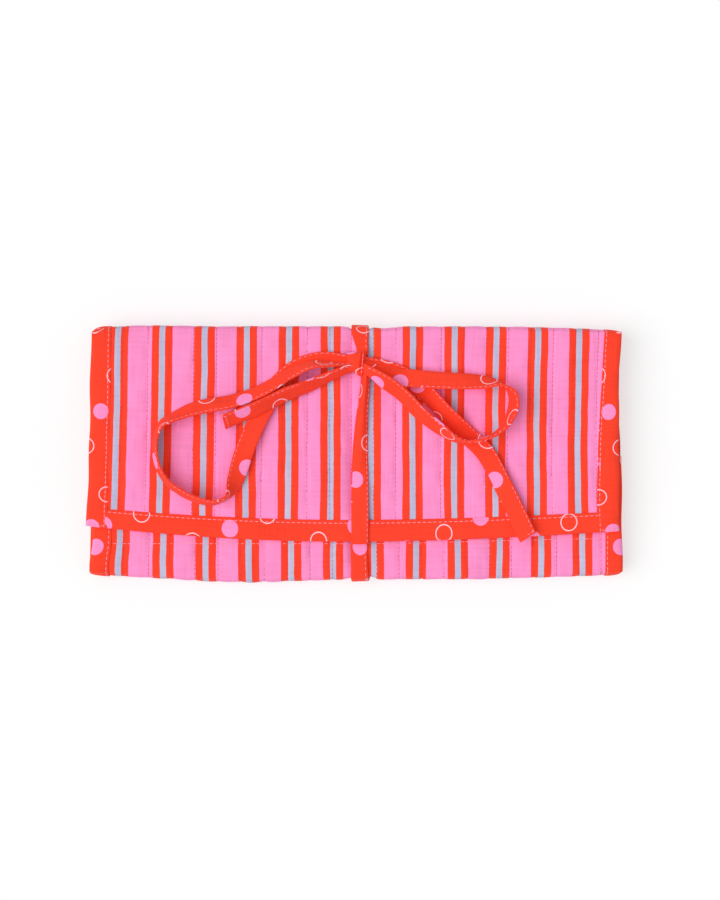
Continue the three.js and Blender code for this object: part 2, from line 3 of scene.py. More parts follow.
import bpy
import numpy as np
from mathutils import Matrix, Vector


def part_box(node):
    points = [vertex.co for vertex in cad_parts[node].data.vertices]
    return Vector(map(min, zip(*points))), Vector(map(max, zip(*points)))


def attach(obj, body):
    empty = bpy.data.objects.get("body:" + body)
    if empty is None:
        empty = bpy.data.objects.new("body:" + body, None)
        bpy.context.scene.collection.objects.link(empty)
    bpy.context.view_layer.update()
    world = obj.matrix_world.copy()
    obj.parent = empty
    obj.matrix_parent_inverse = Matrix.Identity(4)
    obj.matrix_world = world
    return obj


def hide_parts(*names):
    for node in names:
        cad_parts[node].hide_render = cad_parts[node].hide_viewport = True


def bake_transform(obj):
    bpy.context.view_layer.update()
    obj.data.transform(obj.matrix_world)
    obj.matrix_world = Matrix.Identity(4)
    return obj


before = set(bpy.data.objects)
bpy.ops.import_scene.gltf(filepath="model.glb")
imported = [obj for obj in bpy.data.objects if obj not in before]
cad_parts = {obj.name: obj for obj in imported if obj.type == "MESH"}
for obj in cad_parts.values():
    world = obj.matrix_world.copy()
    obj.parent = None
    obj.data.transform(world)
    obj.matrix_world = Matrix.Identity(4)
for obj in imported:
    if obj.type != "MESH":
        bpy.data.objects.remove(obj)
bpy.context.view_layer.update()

MM = 0.001


def box_of(name):
    """A CAD node's lowest and highest corner, in millimetres."""
    return [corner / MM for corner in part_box(name)]


def edge(name, axis, end):
    """One side of a CAD node's box, in millimetres: axis 0 to 2, end 0 for the lowest, 1 for the highest."""
    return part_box(name)[end][axis] / MM


# Sizes taken from the frame, in millimetres
X_IN = edge("flap_cover", 0, 1)
X_OUT = edge("flap_binding_right", 0, 1)
BIND = X_OUT - X_IN
CREASE = edge("flap_cover", 1, 1)
FLAP_END = edge("flap_binding_end", 1, 0)
FRONT_END = edge("front_binding_end", 1, 1)
BACK_IN = edge("back_lining", 2, 1)
FRONT_IN = edge("front_lining", 2, 0)
FLAP_IN = edge("flap_lining", 2, 0)
QUILT = BACK_IN - edge("back_cover", 2, 0)
FLAP_TOP = FLAP_IN + QUILT
LINING = BACK_IN - edge("back_lining", 2, 0)
TIE_X = (edge("tie_back", 0, 0) + edge("tie_back", 0, 1)) / 2
TIE_W = edge("tie_back", 0, 1) - edge("tie_back", 0, 0)
KNOT_X = (edge("tie_knot", 0, 0) + edge("tie_knot", 0, 1)) / 2
KNOT_Y = (edge("tie_knot", 1, 0) + edge("tie_knot", 1, 1)) / 2

# Sizes read from the photograph, in millimetres
PITCH = 11.35  # from one quilting line to the next
TIE_T = 1.0  # thickness of the tie
STRAP_W = 8.7  # width of the tie where it is drawn tight round the roll
STRAP_SHIFT = -0.7  # how far that stretch lies from the tie's nominal line
FRONT_SHIFT = -1.6  # the same at the bottom of the front panel
STRIPE = 21.05  # from one blue line to the next
BLUE_W = 2.95
ORANGE_W = 3.65
STRIPE_AT = -118.5  # middle of a blue line
PRINT_STEP = 28.0  # from one dot to the next
DOT_R = 4.1
RING_R = 4.0
RING_LINE = 0.27  # half the width of a ring's line
STITCH = 1.9
STITCH_STEP = 2.6
QUILT_STEP = 2.1  # from one quilting stitch to the next
THREAD_W = 0.34

# Camera: straight down, two pixels to the millimetre at the height of the flap
VIEW_X, VIEW_Y, VIEW_H, VIEW_SPAN = 3.0, 1.0, 1500.0, 450.0
SENSOR = 36
camera = bpy.data.cameras.new("camera")
camera.sensor_fit = "VERTICAL"
camera.sensor_height = SENSOR
camera.lens = SENSOR * VIEW_H / VIEW_SPAN
camera_object = bpy.data.objects.new("camera", camera)
camera_object.location = (VIEW_X * MM, VIEW_Y * MM, (FLAP_TOP + VIEW_H) * MM)
bpy.context.scene.collection.objects.link(camera_object)
bpy.context.scene.camera = camera_object


# Materials


def paint(code, amount=1.0):
    """A hex colour as the eye sees it, turned into linear light and darkened to an amount of it."""
    parts = [int(code[i:i + 2], 16) / 255 for i in (1, 3, 5)]
    light = (p / 12.92 if p <= 0.04045 else ((p + 0.055) / 1.055) ** 2.4 for p in parts)
    return tuple(c * amount for c in light) + (1,)


def per_metre(size):
    """Scale of a pattern whose marks are about as large as the given size in millimetres."""
    return 1 / (size * MM)


def node(tree, kind, inputs=None, out=0, **settings):
    """Adds a node, sets it up, fills or links its inputs by name or number and gives one of its outputs."""
    added = tree.nodes.new("ShaderNode" + kind)
    for name, value in settings.items():
        setattr(added, name, value)
    for name, value in (inputs or {}).items():
        if isinstance(value, bpy.types.NodeSocket):
            tree.links.new(value, added.inputs[name])
        else:
            added.inputs[name].default_value = value
    return added.outputs[out]


def new_material(name):
    material = bpy.data.materials.new(name)
    material.use_nodes = True
    return material, material.node_tree, material.node_tree.nodes["Principled BSDF"]


def cotton(name, colour_of, pitch=0.5, grain=0.05):
    """Plain-woven cotton: dry and soft to the eye, with uneven dye, slubs along both threads and a faint
    sheen. The weave is drawn at half a millimetre, twice as coarse as in real cotton, so that it shows."""
    material, tree, shader = new_material(name)
    uv = node(tree, "UVMap", uv_map="UVMap")
    across, along = (
        node(tree, "Math", {0: node(tree, "SeparateXYZ", {0: uv}, axis), 1: 1 / MM}, operation="MULTIPLY")
        for axis in (0, 1)
    )
    turns = 2 * math.pi / pitch
    phases = (node(tree, "Math", {0: way, 1: turns}, operation="MULTIPLY") for way in (across, along))
    warp, weft = (node(tree, "Math", {0: phase}, operation="SINE") for phase in phases)
    threads = node(tree, "Math", {0: warp, 1: weft}, operation="MULTIPLY")
    # Clouds in the dye, then paler and darker threads each way: stretch, size in millimetres and depth
    dye = (((1, 1, 1), 18.1818, 0.18), ((1, 0.05, 1), 1.25, 0.28), ((0.05, 1, 1), 1.25, 0.24))
    middle = 1 - sum(depth for stretch, size, depth in dye) / 2
    shade = node(tree, "Math", {0: threads, 1: grain, 2: middle}, operation="MULTIPLY_ADD")
    for stretch, size, depth in dye:
        place = node(tree, "Mapping", {"Vector": uv, "Scale": stretch})
        uneven = node(tree, "TexNoise", {"Vector": place, "Scale": per_metre(size), "Detail": 3})
        shade = node(tree, "Math", {0: uneven, 1: depth, 2: shade}, operation="MULTIPLY_ADD")
    colour = colour_of(tree, uv, across)
    dyed = node(tree, "Mix", {0: 1.0, 6: colour, 7: shade}, 2, data_type="RGBA", blend_type="MULTIPLY")
    tree.links.new(dyed, shader.inputs["Base Color"])
    slub = node(tree, "TexNoise", {"Vector": uv, "Scale": per_metre(1.1111), "Detail": 2})
    height = node(tree, "Math", {0: threads, 1: 0.5, 2: slub}, operation="MULTIPLY_ADD")
    bump = node(tree, "Bump", {"Strength": 0.4, "Distance": 0.09 * MM, "Height": height})
    tree.links.new(bump, shader.inputs["Normal"])
    shader.inputs["Roughness"].default_value = 0.82
    shader.inputs["Specular IOR Level"].default_value = 0.15
    shader.inputs["Sheen Weight"].default_value = 0.05
    shader.inputs["Sheen Roughness"].default_value = 0.5
    return material


PINK, ORANGE, BLUE = paint("#FD91C9"), paint("#FE4229"), paint("#C6BFD4")
BLUE_FRESH, PALE = paint("#AEB6DC"), paint("#FFC6D8")


def striped(tree, uv, across):
    """Printed stripes: pink, with a blue-grey line between two orange bands, their edges a little uneven."""
    soft = 0.12
    wanders = ((20, 1.1), (1.25, 0.3))
    place = node(tree, "Math", {0: across, 1: STRIPE_AT}, operation="SUBTRACT")
    for size, reach in wanders:
        wander = node(tree, "TexNoise", {"Vector": uv, "Scale": per_metre(size), "Detail": 2})
        place = node(tree, "Math", {0: wander, 1: reach, 2: place}, operation="MULTIPLY_ADD")
    place = node(tree, "Math", {0: place, 1: sum(reach for size, reach in wanders) / 2}, operation="SUBTRACT")
    off = node(tree, "Math", {0: place, 1: STRIPE / 2, 2: -STRIPE / 2}, operation="WRAP")
    off = node(tree, "Math", {0: off}, operation="ABSOLUTE")
    past_blue, past_orange = (
        node(tree, "MapRange", {"Value": off, "From Min": line - soft, "From Max": line + soft})
        for line in (BLUE_W / 2, BLUE_W / 2 + ORANGE_W)
    )
    fade = node(tree, "TexNoise", {"Vector": uv, "Scale": per_metre(40), "Detail": 2})
    blue = node(tree, "Mix", {0: fade, 6: BLUE_FRESH, 7: BLUE}, 2, data_type="RGBA")
    warm = node(tree, "Mix", {0: past_orange, 6: ORANGE, 7: PINK}, 2, data_type="RGBA")
    return node(tree, "Mix", {0: past_blue, 6: blue, 7: warm}, 2, data_type="RGBA")


def printed(tree, uv, across):
    """Orange with a generic print: rows of plain pink dots and, between them, thin pale rings."""
    half = PRINT_STEP / 2
    low, high = (-half, -half, -1), (half, half, 1)
    turn = {"Vector": uv, "Angle": math.radians(24)}
    far = []
    for start in (0.0, half):
        turned = node(tree, "VectorRotate", turn, rotation_type="Z_AXIS")
        place = {0: turned, 1: (1 / MM, 1 / MM, 0), 2: (start, start, 0)}
        moved = node(tree, "VectorMath", place, operation="MULTIPLY_ADD")
        cell = node(tree, "VectorMath", {0: moved, 1: high, 2: low}, operation="WRAP")
        far.append(node(tree, "VectorMath", {0: cell}, "Value", operation="LENGTH"))
    dot = node(tree, "Math", {0: far[0], 1: DOT_R}, operation="LESS_THAN")
    ring = node(tree, "Math", {0: far[1], 1: RING_R, 2: RING_LINE}, operation="COMPARE")
    spotted = node(tree, "Mix", {0: dot, 6: ORANGE, 7: PINK}, 2, data_type="RGBA")
    return node(tree, "Mix", {0: ring, 6: spotted, 7: PALE}, 2, data_type="RGBA")


def plain(code):
    """One colour, a little deeper in small clouds."""
    def colour_of(tree, uv, across):
        uneven = node(tree, "TexNoise", {"Vector": uv, "Scale": per_metre(3.8462), "Detail": 3})
        return node(tree, "Mix", {0: uneven, 6: paint(code, 0.86), 7: paint(code)}, 2, data_type="RGBA")
    return colour_of


def twisted(name, code):
    """Twisted sewing thread: a soft shine, with painted shade in the gaps between the plies, 0.57 mm from ply
    to ply.
    Diagonal bands turn by ten radians to the unit, so the scale follows from that."""
    material, tree, shader = new_material(name)
    place = {"Vector": node(tree, "TexCoord", out="Object"), "Scale": per_metre(0.5712) * 2 * math.pi / 10}
    # Diagonal bands of painted shade: the colour is darker in the gaps between the plies
    ply_gap_shade = node(tree, "TexWave", place, 1, wave_type="BANDS", bands_direction="DIAGONAL")
    colour = node(tree, "Mix", {0: ply_gap_shade, 6: paint(code, 0.75), 7: paint(code)}, 2, data_type="RGBA")
    tree.links.new(colour, shader.inputs["Base Color"])
    shader.inputs["Roughness"].default_value = 0.6
    return material


def brass(name):
    """Die-cast zinc plated with pale brass: a soft warm shine with fine rubbing marks about 1 mm long."""
    material, tree, shader = new_material(name)
    place = node(tree, "TexCoord", out="Object")
    rub = node(tree, "TexNoise", {"Vector": place, "Scale": per_metre(1.1111), "Detail": 4})
    metal = node(tree, "Mix", {0: rub, 6: paint("#B88A45"), 7: paint("#E3BE78")}, 2, data_type="RGBA")
    tree.links.new(metal, shader.inputs["Base Color"])
    rough = node(tree, "Math", {0: rub, 1: 0.25, 2: 0.22}, operation="MULTIPLY_ADD")
    tree.links.new(rough, shader.inputs["Roughness"])
    bump = node(tree, "Bump", {"Strength": 0.15, "Distance": 0.03 * MM, "Height": rub})
    tree.links.new(bump, shader.inputs["Normal"])
    shader.inputs["Metallic"].default_value = 1
    return material


COVER = cotton("striped_quilting_cotton", striped)
PRINT = cotton("printed_binding_cotton", printed)
LINED = cotton("plain_pink_cotton", plain("#F7C4DA"))
POCKET = cotton("plain_blue_cotton", plain("#B4BCD8"))
TAPE = cotton("zip_tape_twill", plain("#F2523C"), pitch=0.9, grain=0.1)
COIL = twisted("zip_coil_nylon", "#F7C9D6")
QUILT_THREAD = twisted("crimson_sewing_thread", "#DC2C46")
EDGE_THREAD = twisted("pale_pink_sewing_thread", "#FFA9C2")
BRASS = brass("plated_brass")


# The quilted strip: how it lies, how thick it is

# Each stretch of the strip: y, z and outward angle of its inner face where it starts and where it ends
STRETCH = {
    "flap": (FLAP_END, FLAP_IN, 90, CREASE, FLAP_IN, 90),
    "top_flap_fold": (CREASE, FLAP_IN, 90, CREASE, FLAP_IN, 0),
    "top_spine": (CREASE, FLAP_IN, 0, CREASE, BACK_IN, 0),
    "top_back_fold": (CREASE, BACK_IN, 0, CREASE, BACK_IN, -90),
    "back": (CREASE, BACK_IN, -90, -CREASE, BACK_IN, -90),
    "bottom_back_fold": (-CREASE, BACK_IN, -90, -CREASE, BACK_IN, -180),
    "bottom_spine": (-CREASE, BACK_IN, -180, -CREASE, FRONT_IN, -180),
    "bottom_front_fold": (-CREASE, FRONT_IN, -180, -CREASE, FRONT_IN, -270),
    "front": (-CREASE, FRONT_IN, -270, FRONT_END, FRONT_IN, -270),
}
PARTS = list(STRETCH)
LENGTH = {
    part: math.hypot(y1 - y0, z1 - z0) + math.radians(abs(a1 - a0)) * QUILT
    for part, (y0, z0, a0, y1, z1, a1) in STRETCH.items()
}
START = {part: sum(LENGTH[p] for p in PARTS[:i]) for i, part in enumerate(PARTS)}

# How the roll departs from its straight frame in the photograph, in millimetres
SLIP_LEFT, SLIP_RIGHT = 1.4, 0.9  # the top's two ends lie to the right
LOW_SLIP, LOW_SPREAD = 0.6, 1.0  # the bottom lies to the right, and is a little wider
FACE = 3.2  # height of a cover's outer face over its inner one
SHOULDER, SHOULDER_Y = 1.7, 15  # the flap's top rounds off by so much, over so much of its length
TOP_BULGE, LOW_BULGE = 1.5, 1.2  # how far the spines' edges are drawn in, so that they bulge
FLAP_DROP = 1.1  # how far the flap's free edge is pressed down


def smooth(t):
    """An even rise from 0 to 1."""
    t = np.clip(t, 0, 1)
    return t * t * (3 - 2 * t)


def hill(x, middle, reach):
    """A soft hill of height 1."""
    return np.exp(-((x - middle) / reach) ** 2)


def grid(*columns):
    """Points from their coordinates, each a number or an array."""
    return np.stack(np.broadcast_arrays(*columns), axis=-1)


def spread(values, at):
    """One number, or several evenly spaced along a stretch, read at shares of it."""
    return np.interp(at, np.linspace(0, 1, np.size(values)), np.atleast_1d(values))


def run_of(points):
    """Length run along a line of points, from 0."""
    return np.concatenate([[0], np.cumsum(np.linalg.norm(np.diff(points, axis=0), axis=1))])


def hollow_of(z, low, high):
    """0 in the middle of a spine's height and 1 at its two edges."""
    return 1 - np.sin(math.pi * np.clip((z - low) / (high - low), 0, 1))


def settle(part, x, y, z):
    """How the cloth lies in the photograph: the flap's slant and bowed edge, and the folds' soft bulge."""
    left, right = np.clip(-x / X_OUT, 0, 1.1), np.clip(x / X_OUT, 0, 1.1)
    at_top = left * SLIP_LEFT + right * SLIP_RIGHT
    at_bottom = LOW_SLIP + LOW_SPREAD * x / X_OUT
    rim = np.sign(x) * smooth((np.abs(x) - X_IN) / BIND)
    outer = (z - FLAP_IN) / FACE
    shoulder = SHOULDER * np.clip((y - CREASE) / SHOULDER_Y + 1, 0, 1.25) ** 2 * np.clip(outer, 0, 1.1)
    if part == "flap":
        down = np.clip((CREASE - y) / (CREASE - FLAP_END), 0, 1)
        shift = left * (SLIP_LEFT - 2.5 * down ** 1.5)
        shift = shift + right * (SLIP_RIGHT - 0.6 * down - 4.5 * down * (1 - down))
        y = y + down ** 2 * (-2 + 8 * left ** 2 + 5.4 * right ** 1.7)
        held = (1 - smooth((down - 0.895) / 0.03)) * np.clip(1 - outer, 0, 1)
        z = z - FLAP_DROP * smooth((down - 0.68) / 0.25) * (1 - held) - shoulder
    elif part.startswith("top"):
        out = np.clip((y - CREASE) / QUILT, 0, 1.3)
        shift = at_top - rim * out ** 2 * np.where(x < 0, 3.2, 2.2)
        swell = 0.8 + 0.9 * hill(x, -102, 22) - 1.3 * hill(x, TIE_X + 11, 6) - left ** 4 - 3 * right ** 4
        y = y + out * (swell - TOP_BULGE * hollow_of(z, BACK_IN, FLAP_IN))
        z = z - shoulder
    elif part == "back":
        down = np.clip((CREASE - y) / (2 * CREASE), 0, 1)
        shift = at_top * (1 - down) + at_bottom * down
    elif part == "front":
        shift = at_bottom + 2.2 * left ** 6 * smooth((y + CREASE - 3) / 13)
    else:
        out = np.clip((-CREASE - y) / QUILT, 0, 1.3)
        shift = at_bottom - rim * out ** 2 * 1.6
        swell = 2.0 + 2.0 * hill(x, -58, 40) - 3.4 * np.maximum(left, right) ** 3
        y = y - out * (swell - LOW_BULGE * hollow_of(z, BACK_IN, FRONT_IN))
    return grid(x + shift, y, z)


def lay(part, x, s, t):
    """The point x across, at share s along a stretch of the strip, t over its inner face."""
    y0, z0, a0, y1, z1, a1 = STRETCH[part]
    angle = np.radians(a0 + (a1 - a0) * s)
    return settle(part, x, y0 + (y1 - y0) * s + t * np.cos(angle), z0 + (z1 - z0) * s + t * np.sin(angle))


def share(part, y):
    """Share along a flat stretch of the strip at height y on the page."""
    return (y - STRETCH[part][0]) / (STRETCH[part][3] - STRETCH[part][0])


def drawn(u, v):
    """The cover's cloth is drawn a little to the right in the middle, on the flap only left of the tie and on
    the front panel most at the left, and to the left at its left edge."""
    front = np.interp(v, [START["back"], START["bottom_back_fold"]], [0, 1])
    pull = 1.1 * front * (1 - smooth((u + 30) / 50)) - 0.9 * (1 - front) * smooth((u + 12) / 20)
    return u + 1.5 * np.cos(math.pi * np.clip(u / X_IN, -1, 1) / 2) + pull - smooth((-103 - u) / 12)


def ripple(x, y, size, turn):
    """Smooth unevenness of about 1, with waves of the given size."""
    a, b = x / size, y / size
    return (np.sin(1.7 * a + turn) * np.cos(1.3 * b - 1.9 * turn) + np.sin(0.9 * a - 1.1 * b + 3.1 * turn)
            + 0.5 * np.sin(2.3 * a + 1.9 * b + 0.7 * turn)) / 2


# The quilting lines across the cloth, the cover's two edges and the quilt's heights, in millimetres
COVER_LEFT, COVER_RIGHT = -X_IN - 3, X_IN + 6.5
SEWN_LINES = [X_IN - 0.5 - PITCH * k for k in range(int(2 * X_IN / PITCH), -1, -1)]
LINES = np.array([COVER_LEFT] + SEWN_LINES + [COVER_RIGHT])
BY_TIE = LINES[np.argmin(np.abs(LINES - TIE_X + 5.5))]  # the line just left of the tie
SEWN_T, CROWN, VALLEY, LEAST_T = 2.54, 0.75, 1.7, 0.8


def quilt(u, v, full=1.0):
    """Height of the quilted cover over the lining's face: channels between the sewn lines, with puckers,
    pulled in along the line beside the tie and pressed down under the tie itself."""
    k = np.clip(np.searchsorted(LINES, u) - 1, 0, len(LINES) - 2)
    width = LINES[k + 1] - LINES[k]
    s = np.clip((u - LINES[k]) / width, 0, 1)
    crown = (4 * s * (1 - s)) ** 0.55 * np.minimum(1, width / PITCH)
    near = np.minimum(s, 1 - s) * width
    pucker = hill(near, 0, 2.2) * np.sin(2 * math.pi * v / QUILT_STEP + 1.7 * k)
    pucker = pucker * (0.6 + 0.4 * ripple(u, v, 7, 2.0))
    full = full * smooth((u - COVER_LEFT - 2.2) / 3.5) * smooth((COVER_RIGHT - 2.8 - u) / 2.5)
    squeeze = hill(u, TIE_X, 15) * np.sin(v / 1.5 + 0.05 * u) * (0.5 + 0.5 * ripple(u, v, 11, 0.9))
    uneven = 0.18 * pucker + 0.3 * ripple(u, v, 4, 0.4) * crown + 0.26 * ripple(u, v, 16, 1.3) + 0.2 * squeeze
    valley = VALLEY * hill(u, BY_TIE, np.where(u < BY_TIE, 4.2, 1.3))
    pressed = (0.45 + 0.85 * (1 - full)) * np.exp(-((u - TIE_X + 0.9) / (TIE_W / 2 + 0.9)) ** 8)
    return np.maximum(SEWN_T + (CROWN * crown + uneven - valley) * full - pressed, LEAST_T)


# Mesh helpers


def made(name, points, faces, uvs, materials, which=None):
    """An object from points in millimetres; uvs holds one pair per face corner, in millimetres."""
    name = name + "_cloth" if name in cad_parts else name
    mesh = bpy.data.meshes.new(name)
    mesh.from_pydata([tuple(p) for p in np.asarray(points) * MM], [], faces)
    layer = mesh.uv_layers.new(name="UVMap")
    layer.data.foreach_set("uv", (np.asarray(uvs, float) * MM).ravel())
    for material in materials:
        mesh.materials.append(material)
    if which is not None:
        mesh.polygons.foreach_set("material_index", which)
    mesh.update()
    piece = bpy.data.objects.new(name, mesh)
    bpy.context.scene.collection.objects.link(piece)
    return piece


def active(piece):
    """Selects one piece alone."""
    bpy.ops.object.select_all(action="DESELECT")
    piece.select_set(True)
    bpy.context.view_layer.objects.active = piece


def finished(piece, angle):
    """Turns every face outward and shades the piece smooth, apart from its sharp edges."""
    active(piece)
    bpy.ops.object.mode_set(mode="EDIT")
    bpy.ops.mesh.select_all(action="SELECT")
    bpy.ops.mesh.normals_make_consistent(inside=False)
    bpy.ops.object.mode_set(mode="OBJECT")
    bpy.ops.object.shade_smooth_by_angle(angle=math.radians(angle))
    return piece


def quads(index):
    """Four-sided faces between the rows and columns of a grid of point numbers."""
    return np.stack([index[:-1, :-1], index[:-1, 1:], index[1:, 1:], index[1:, :-1]], axis=-1).reshape(-1, 4)


def slab(name, top, bottom, uv, materials, angle=50):
    """A closed sheet between two grids of points: the top has the first material, the rest the last."""
    rows, columns = top.shape[:2]
    index = np.arange(rows * columns).reshape(rows, columns)
    upper = quads(index)
    lower = upper[:, ::-1] + rows * columns
    ring = np.concatenate([index[0, :], index[1:, -1], index[-1, -2::-1], index[-2:0:-1, 0]])
    after = np.roll(ring, -1)
    sides = np.stack([ring, ring + rows * columns, after + rows * columns, after], axis=1)
    faces = np.concatenate([upper, lower, sides])
    flat_uv = np.concatenate([uv.reshape(-1, 2)] * 2)
    which = np.where(np.arange(len(faces)) < len(upper), 0, len(materials) - 1)
    points = np.concatenate([top.reshape(-1, 3), bottom.reshape(-1, 3)])
    return finished(made(name, points, faces.tolist(), flat_uv[faces.ravel()], materials, which), angle)


def tube(name, rings, uv, material, angle=60):
    """A closed skin over rings of points, with flat ends. uv has one column more than the rings."""
    rows, columns = rings.shape[:2]
    index = np.arange(rows * columns).reshape(rows, columns)
    faces = quads(np.hstack([index, index[:, :1]]))
    corner = np.arange(rows * (columns + 1)).reshape(rows, columns + 1)
    ends = [index[0, ::-1].tolist(), index[-1].tolist()]
    marks = np.concatenate([quads(corner).ravel(), corner[0, :-1][::-1], corner[-1, :-1]])
    uvs = uv.reshape(-1, 2)[marks]
    return finished(made(name, rings.reshape(-1, 3), faces.tolist() + ends, uvs, [material]), angle)


def joined(piece, *others):
    """Makes one object of several."""
    active(piece)
    for other in others:
        other.select_set(True)
    bpy.ops.object.join()
    return piece


# A stitch: two points and, between them, two rings of four points
SPINDLE = np.array(
    [(-0.5, 0, 0)]
    + [(end, math.cos(q), math.sin(q)) for end in (-0.3, 0.3) for q in (0.8, 2.35, 3.95, 5.5)]
    + [(0.5, 0, 0)]
)
SPINDLE_FACES = [
    face
    for i, j in ((1, 2), (2, 3), (3, 4), (4, 1))
    for face in ((0, j, i), (i, j, j + 4, i + 4), (9, i + 4, j + 4))
]


def sewn(name, at, along, up, material, length=STITCH, thick=THREAD_W):
    """A row of stitches, each a small spindle lying on the cloth; none where the row is only a point."""
    runs = np.linalg.norm(along, axis=-1) > 1e-6
    at, along, up = at[runs], along[runs], up[runs]
    along = along / np.linalg.norm(along, axis=-1, keepdims=True)
    across = np.cross(up, along)
    across = across / np.linalg.norm(across, axis=-1, keepdims=True)
    up = np.cross(along, across)
    form = SPINDLE * (length, thick / 2 * 1.2, thick / 2)
    points = at[:, None] + along[:, None] * form[:, :1]
    points = points + across[:, None] * form[:, 1:2] + up[:, None] * form[:, 2:]
    faces = [[i * len(SPINDLE) + j for j in f] for i in range(len(at)) for f in SPINDLE_FACES]
    count = sum(len(f) for f in SPINDLE_FACES) * len(at)
    return finished(made(name, points.reshape(-1, 3), faces, np.zeros((count, 2)), [material]), 80)


def sewn_rows(name, rows, length=STITCH, thick=THREAD_W):
    """Several rows of pale edge stitches as one piece; each row has its places, directions and normals."""
    return sewn(name + "_thread", *(np.concatenate(c) for c in zip(*rows)), EDGE_THREAD, length, thick)


def row_on(part, x, s, t, turn=1, over=0.0, across=False):
    """A row of stitches along or across a stretch: places, directions and normals. turn is -1 on the inner
    face; over lifts the stitches."""
    a, b = (0.5, 0) if across else (0, 0.5 / LENGTH[part])
    along = lay(part, x + a, s + b, t) - lay(part, x - a, s - b, t)
    return lay(part, x, s, t + over), along, (lay(part, x, s, t + 1) - lay(part, x, s, t)) * turn


def row_between(start, end, count, face=1):
    """A straight row of stitches between two points; face is 1 up and -1 down."""
    along, up = np.subtract(end, start), (0, 0, float(face))
    return np.linspace(start, end, count), np.tile(along, (count, 1)), np.tile(up, (count, 1))


def midway(count):
    """Shares of the middles of so many equal lengths."""
    return (np.arange(count) + 0.5) / count


BODY = ("flap", "back", "front", "top_spine", "bottom_spine")
BENDS = {
    "top_flap_fold": ("flap", "top_spine"), "top_back_fold": ("top_spine", "back"),
    "bottom_back_fold": ("back", "bottom_spine"), "bottom_front_fold": ("bottom_spine", "front"),
}
FOLDS = ("top_spine", "bottom_spine") + tuple(BENDS)


def keep(piece, part, slot, *nodes):
    """The piece stands for CAD nodes, which are hidden. It rides on a body, or else its place is baked into
    its points. slot is not used."""
    if nodes:
        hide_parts(*nodes)
    if part in BODY:
        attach(piece, part)
    else:
        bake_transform(piece)
    return piece


# The tie's free ends: the CAD's routes, gathered at the knot
# Each point, from the knot's middle and over the flap's top: x, y, height and roll
LOOP_LEFT = [
    [-2, -1, 3.2, -104], [-8.3, -1.2, 4.4, -104], [-15, -1.4, 5.5, -108], [-24, -1.6, 6.3, -116],
    [-34, -5.8, 6.2, -125], [-44, -12, 6.1, -129], [-54.5, -16.9, 5.8, -131], [-64, -20, 5.6, -134],
    [-77, -22.2, 5.4, -138], [-89.5, -26.2, 5.3, -125], [-98.5, -31.1, 5.3, -112], [-101.5, -39.2, 5.3, -106],
    [-101, -50, 5.3, -106], [-96.5, -58.9, 5.3, -108], [-88.8, -65.2, 5.3, -110], [-79.5, -69.2, 5.3, -108],
    [-71.8, -70.1, 5, -100], [-65.7, -67.4, 4.7, -98], [-62, -59.6, 3.7, -148], [-57.5, -45.5, 2.7, -182],
    [-52, -32, 2.5, -188], [-46.5, -21.5, 2, -188], [-40.7, -11.6, 1.1, -180], [-31.7, -2.9, 1.1, -180],
    [-21.8, 1.2, 1.1, -180], [-15, 2, 1.1, -180], [-8.2, 1, 1.1, -180], [-2, 0.4, 1.6, -180],
]
LOOP_RIGHT = [
    [1, -1.5, 2.6, -2], [8.1, -4.8, 2.4, -2], [14, -7.1, 2.6, -6], [20, -8.1, 3.5, -14], [28, -8.4, 4.6, -20],
    [36, -9, 5.2, -24], [49, -9.7, 5.5, -28], [62.5, -10.2, 5.6, -45], [70.6, -11.1, 6, -80],
    [76, -15.4, 6.2, -113], [77.2, -21.5, 6.2, -121], [73.8, -30.2, 6.4, -113], [67, -36.6, 6.8, -98],
    [58, -39.4, 7, -92], [51, -39.6, 6.8, -82], [42, -34.7, 6.2, -58], [31.2, -26.2, 6, -46],
    [20.5, -15.6, 6.5, -46], [9.8, -7.8, 7.1, -44], [2, -3, 5, -44],
]
TAIL_LEFT = [
    [0, -1.8, 3.4, -52], [-8.5, -4.8, 5.2, -52], [-20.5, -10, 4.8, -52], [-37, -16.7, 6.2, -48],
    [-52.5, -24, 6.9, -44], [-67.4, -30.1, 6.1, -46],
]
TAIL_RIGHT = [
    [1.5, -0.6, 1.4, 0], [8, -2.3, 1, 0], [13.6, -3.9, 1, 0], [23.5, -7.8, 1, 0], [34.1, -16.3, 2.2, 18],
    [41, -23.3, 3.4, 36], [47.5, -30, 2.6, 24], [53, -35.5, 1.2, 4], [63, -45.3, 1.1, 3],
    [71.5, -60.9, 1.8, 12], [78, -74, 1.8, 12], [84.5, -87.7, 1.6, 12],
]
# The strap from the knot down the flap: a ridge of so many degrees at the knot, flat further down
STRAP = [
    [3.6, -5, 4.6, 0], [3.3, -9, 4.2, 0], [2.8, -15, 3.8, 0], [1.8, -24, 3.4, 0], [1.1, -34, 2.6, 0],
    [0.6, -46, 1.6, 0], [0.5, -58, 0.9, 0], [0.5, -68, 0.5, 0], [0.5, -76, -0.2, 0], [0.5, -82, -0.7, 0],
    [0.5, -88.5, -0.8, 0], [0.5, -91, -1.7, 0],
]
STRAP_TENT = [60, 60, 56, 50, 40, 26, 12, 0, 0, 0, 0, 0]
HEM = 3.5
CUT = 12  # length over which a tail's end is cut askew


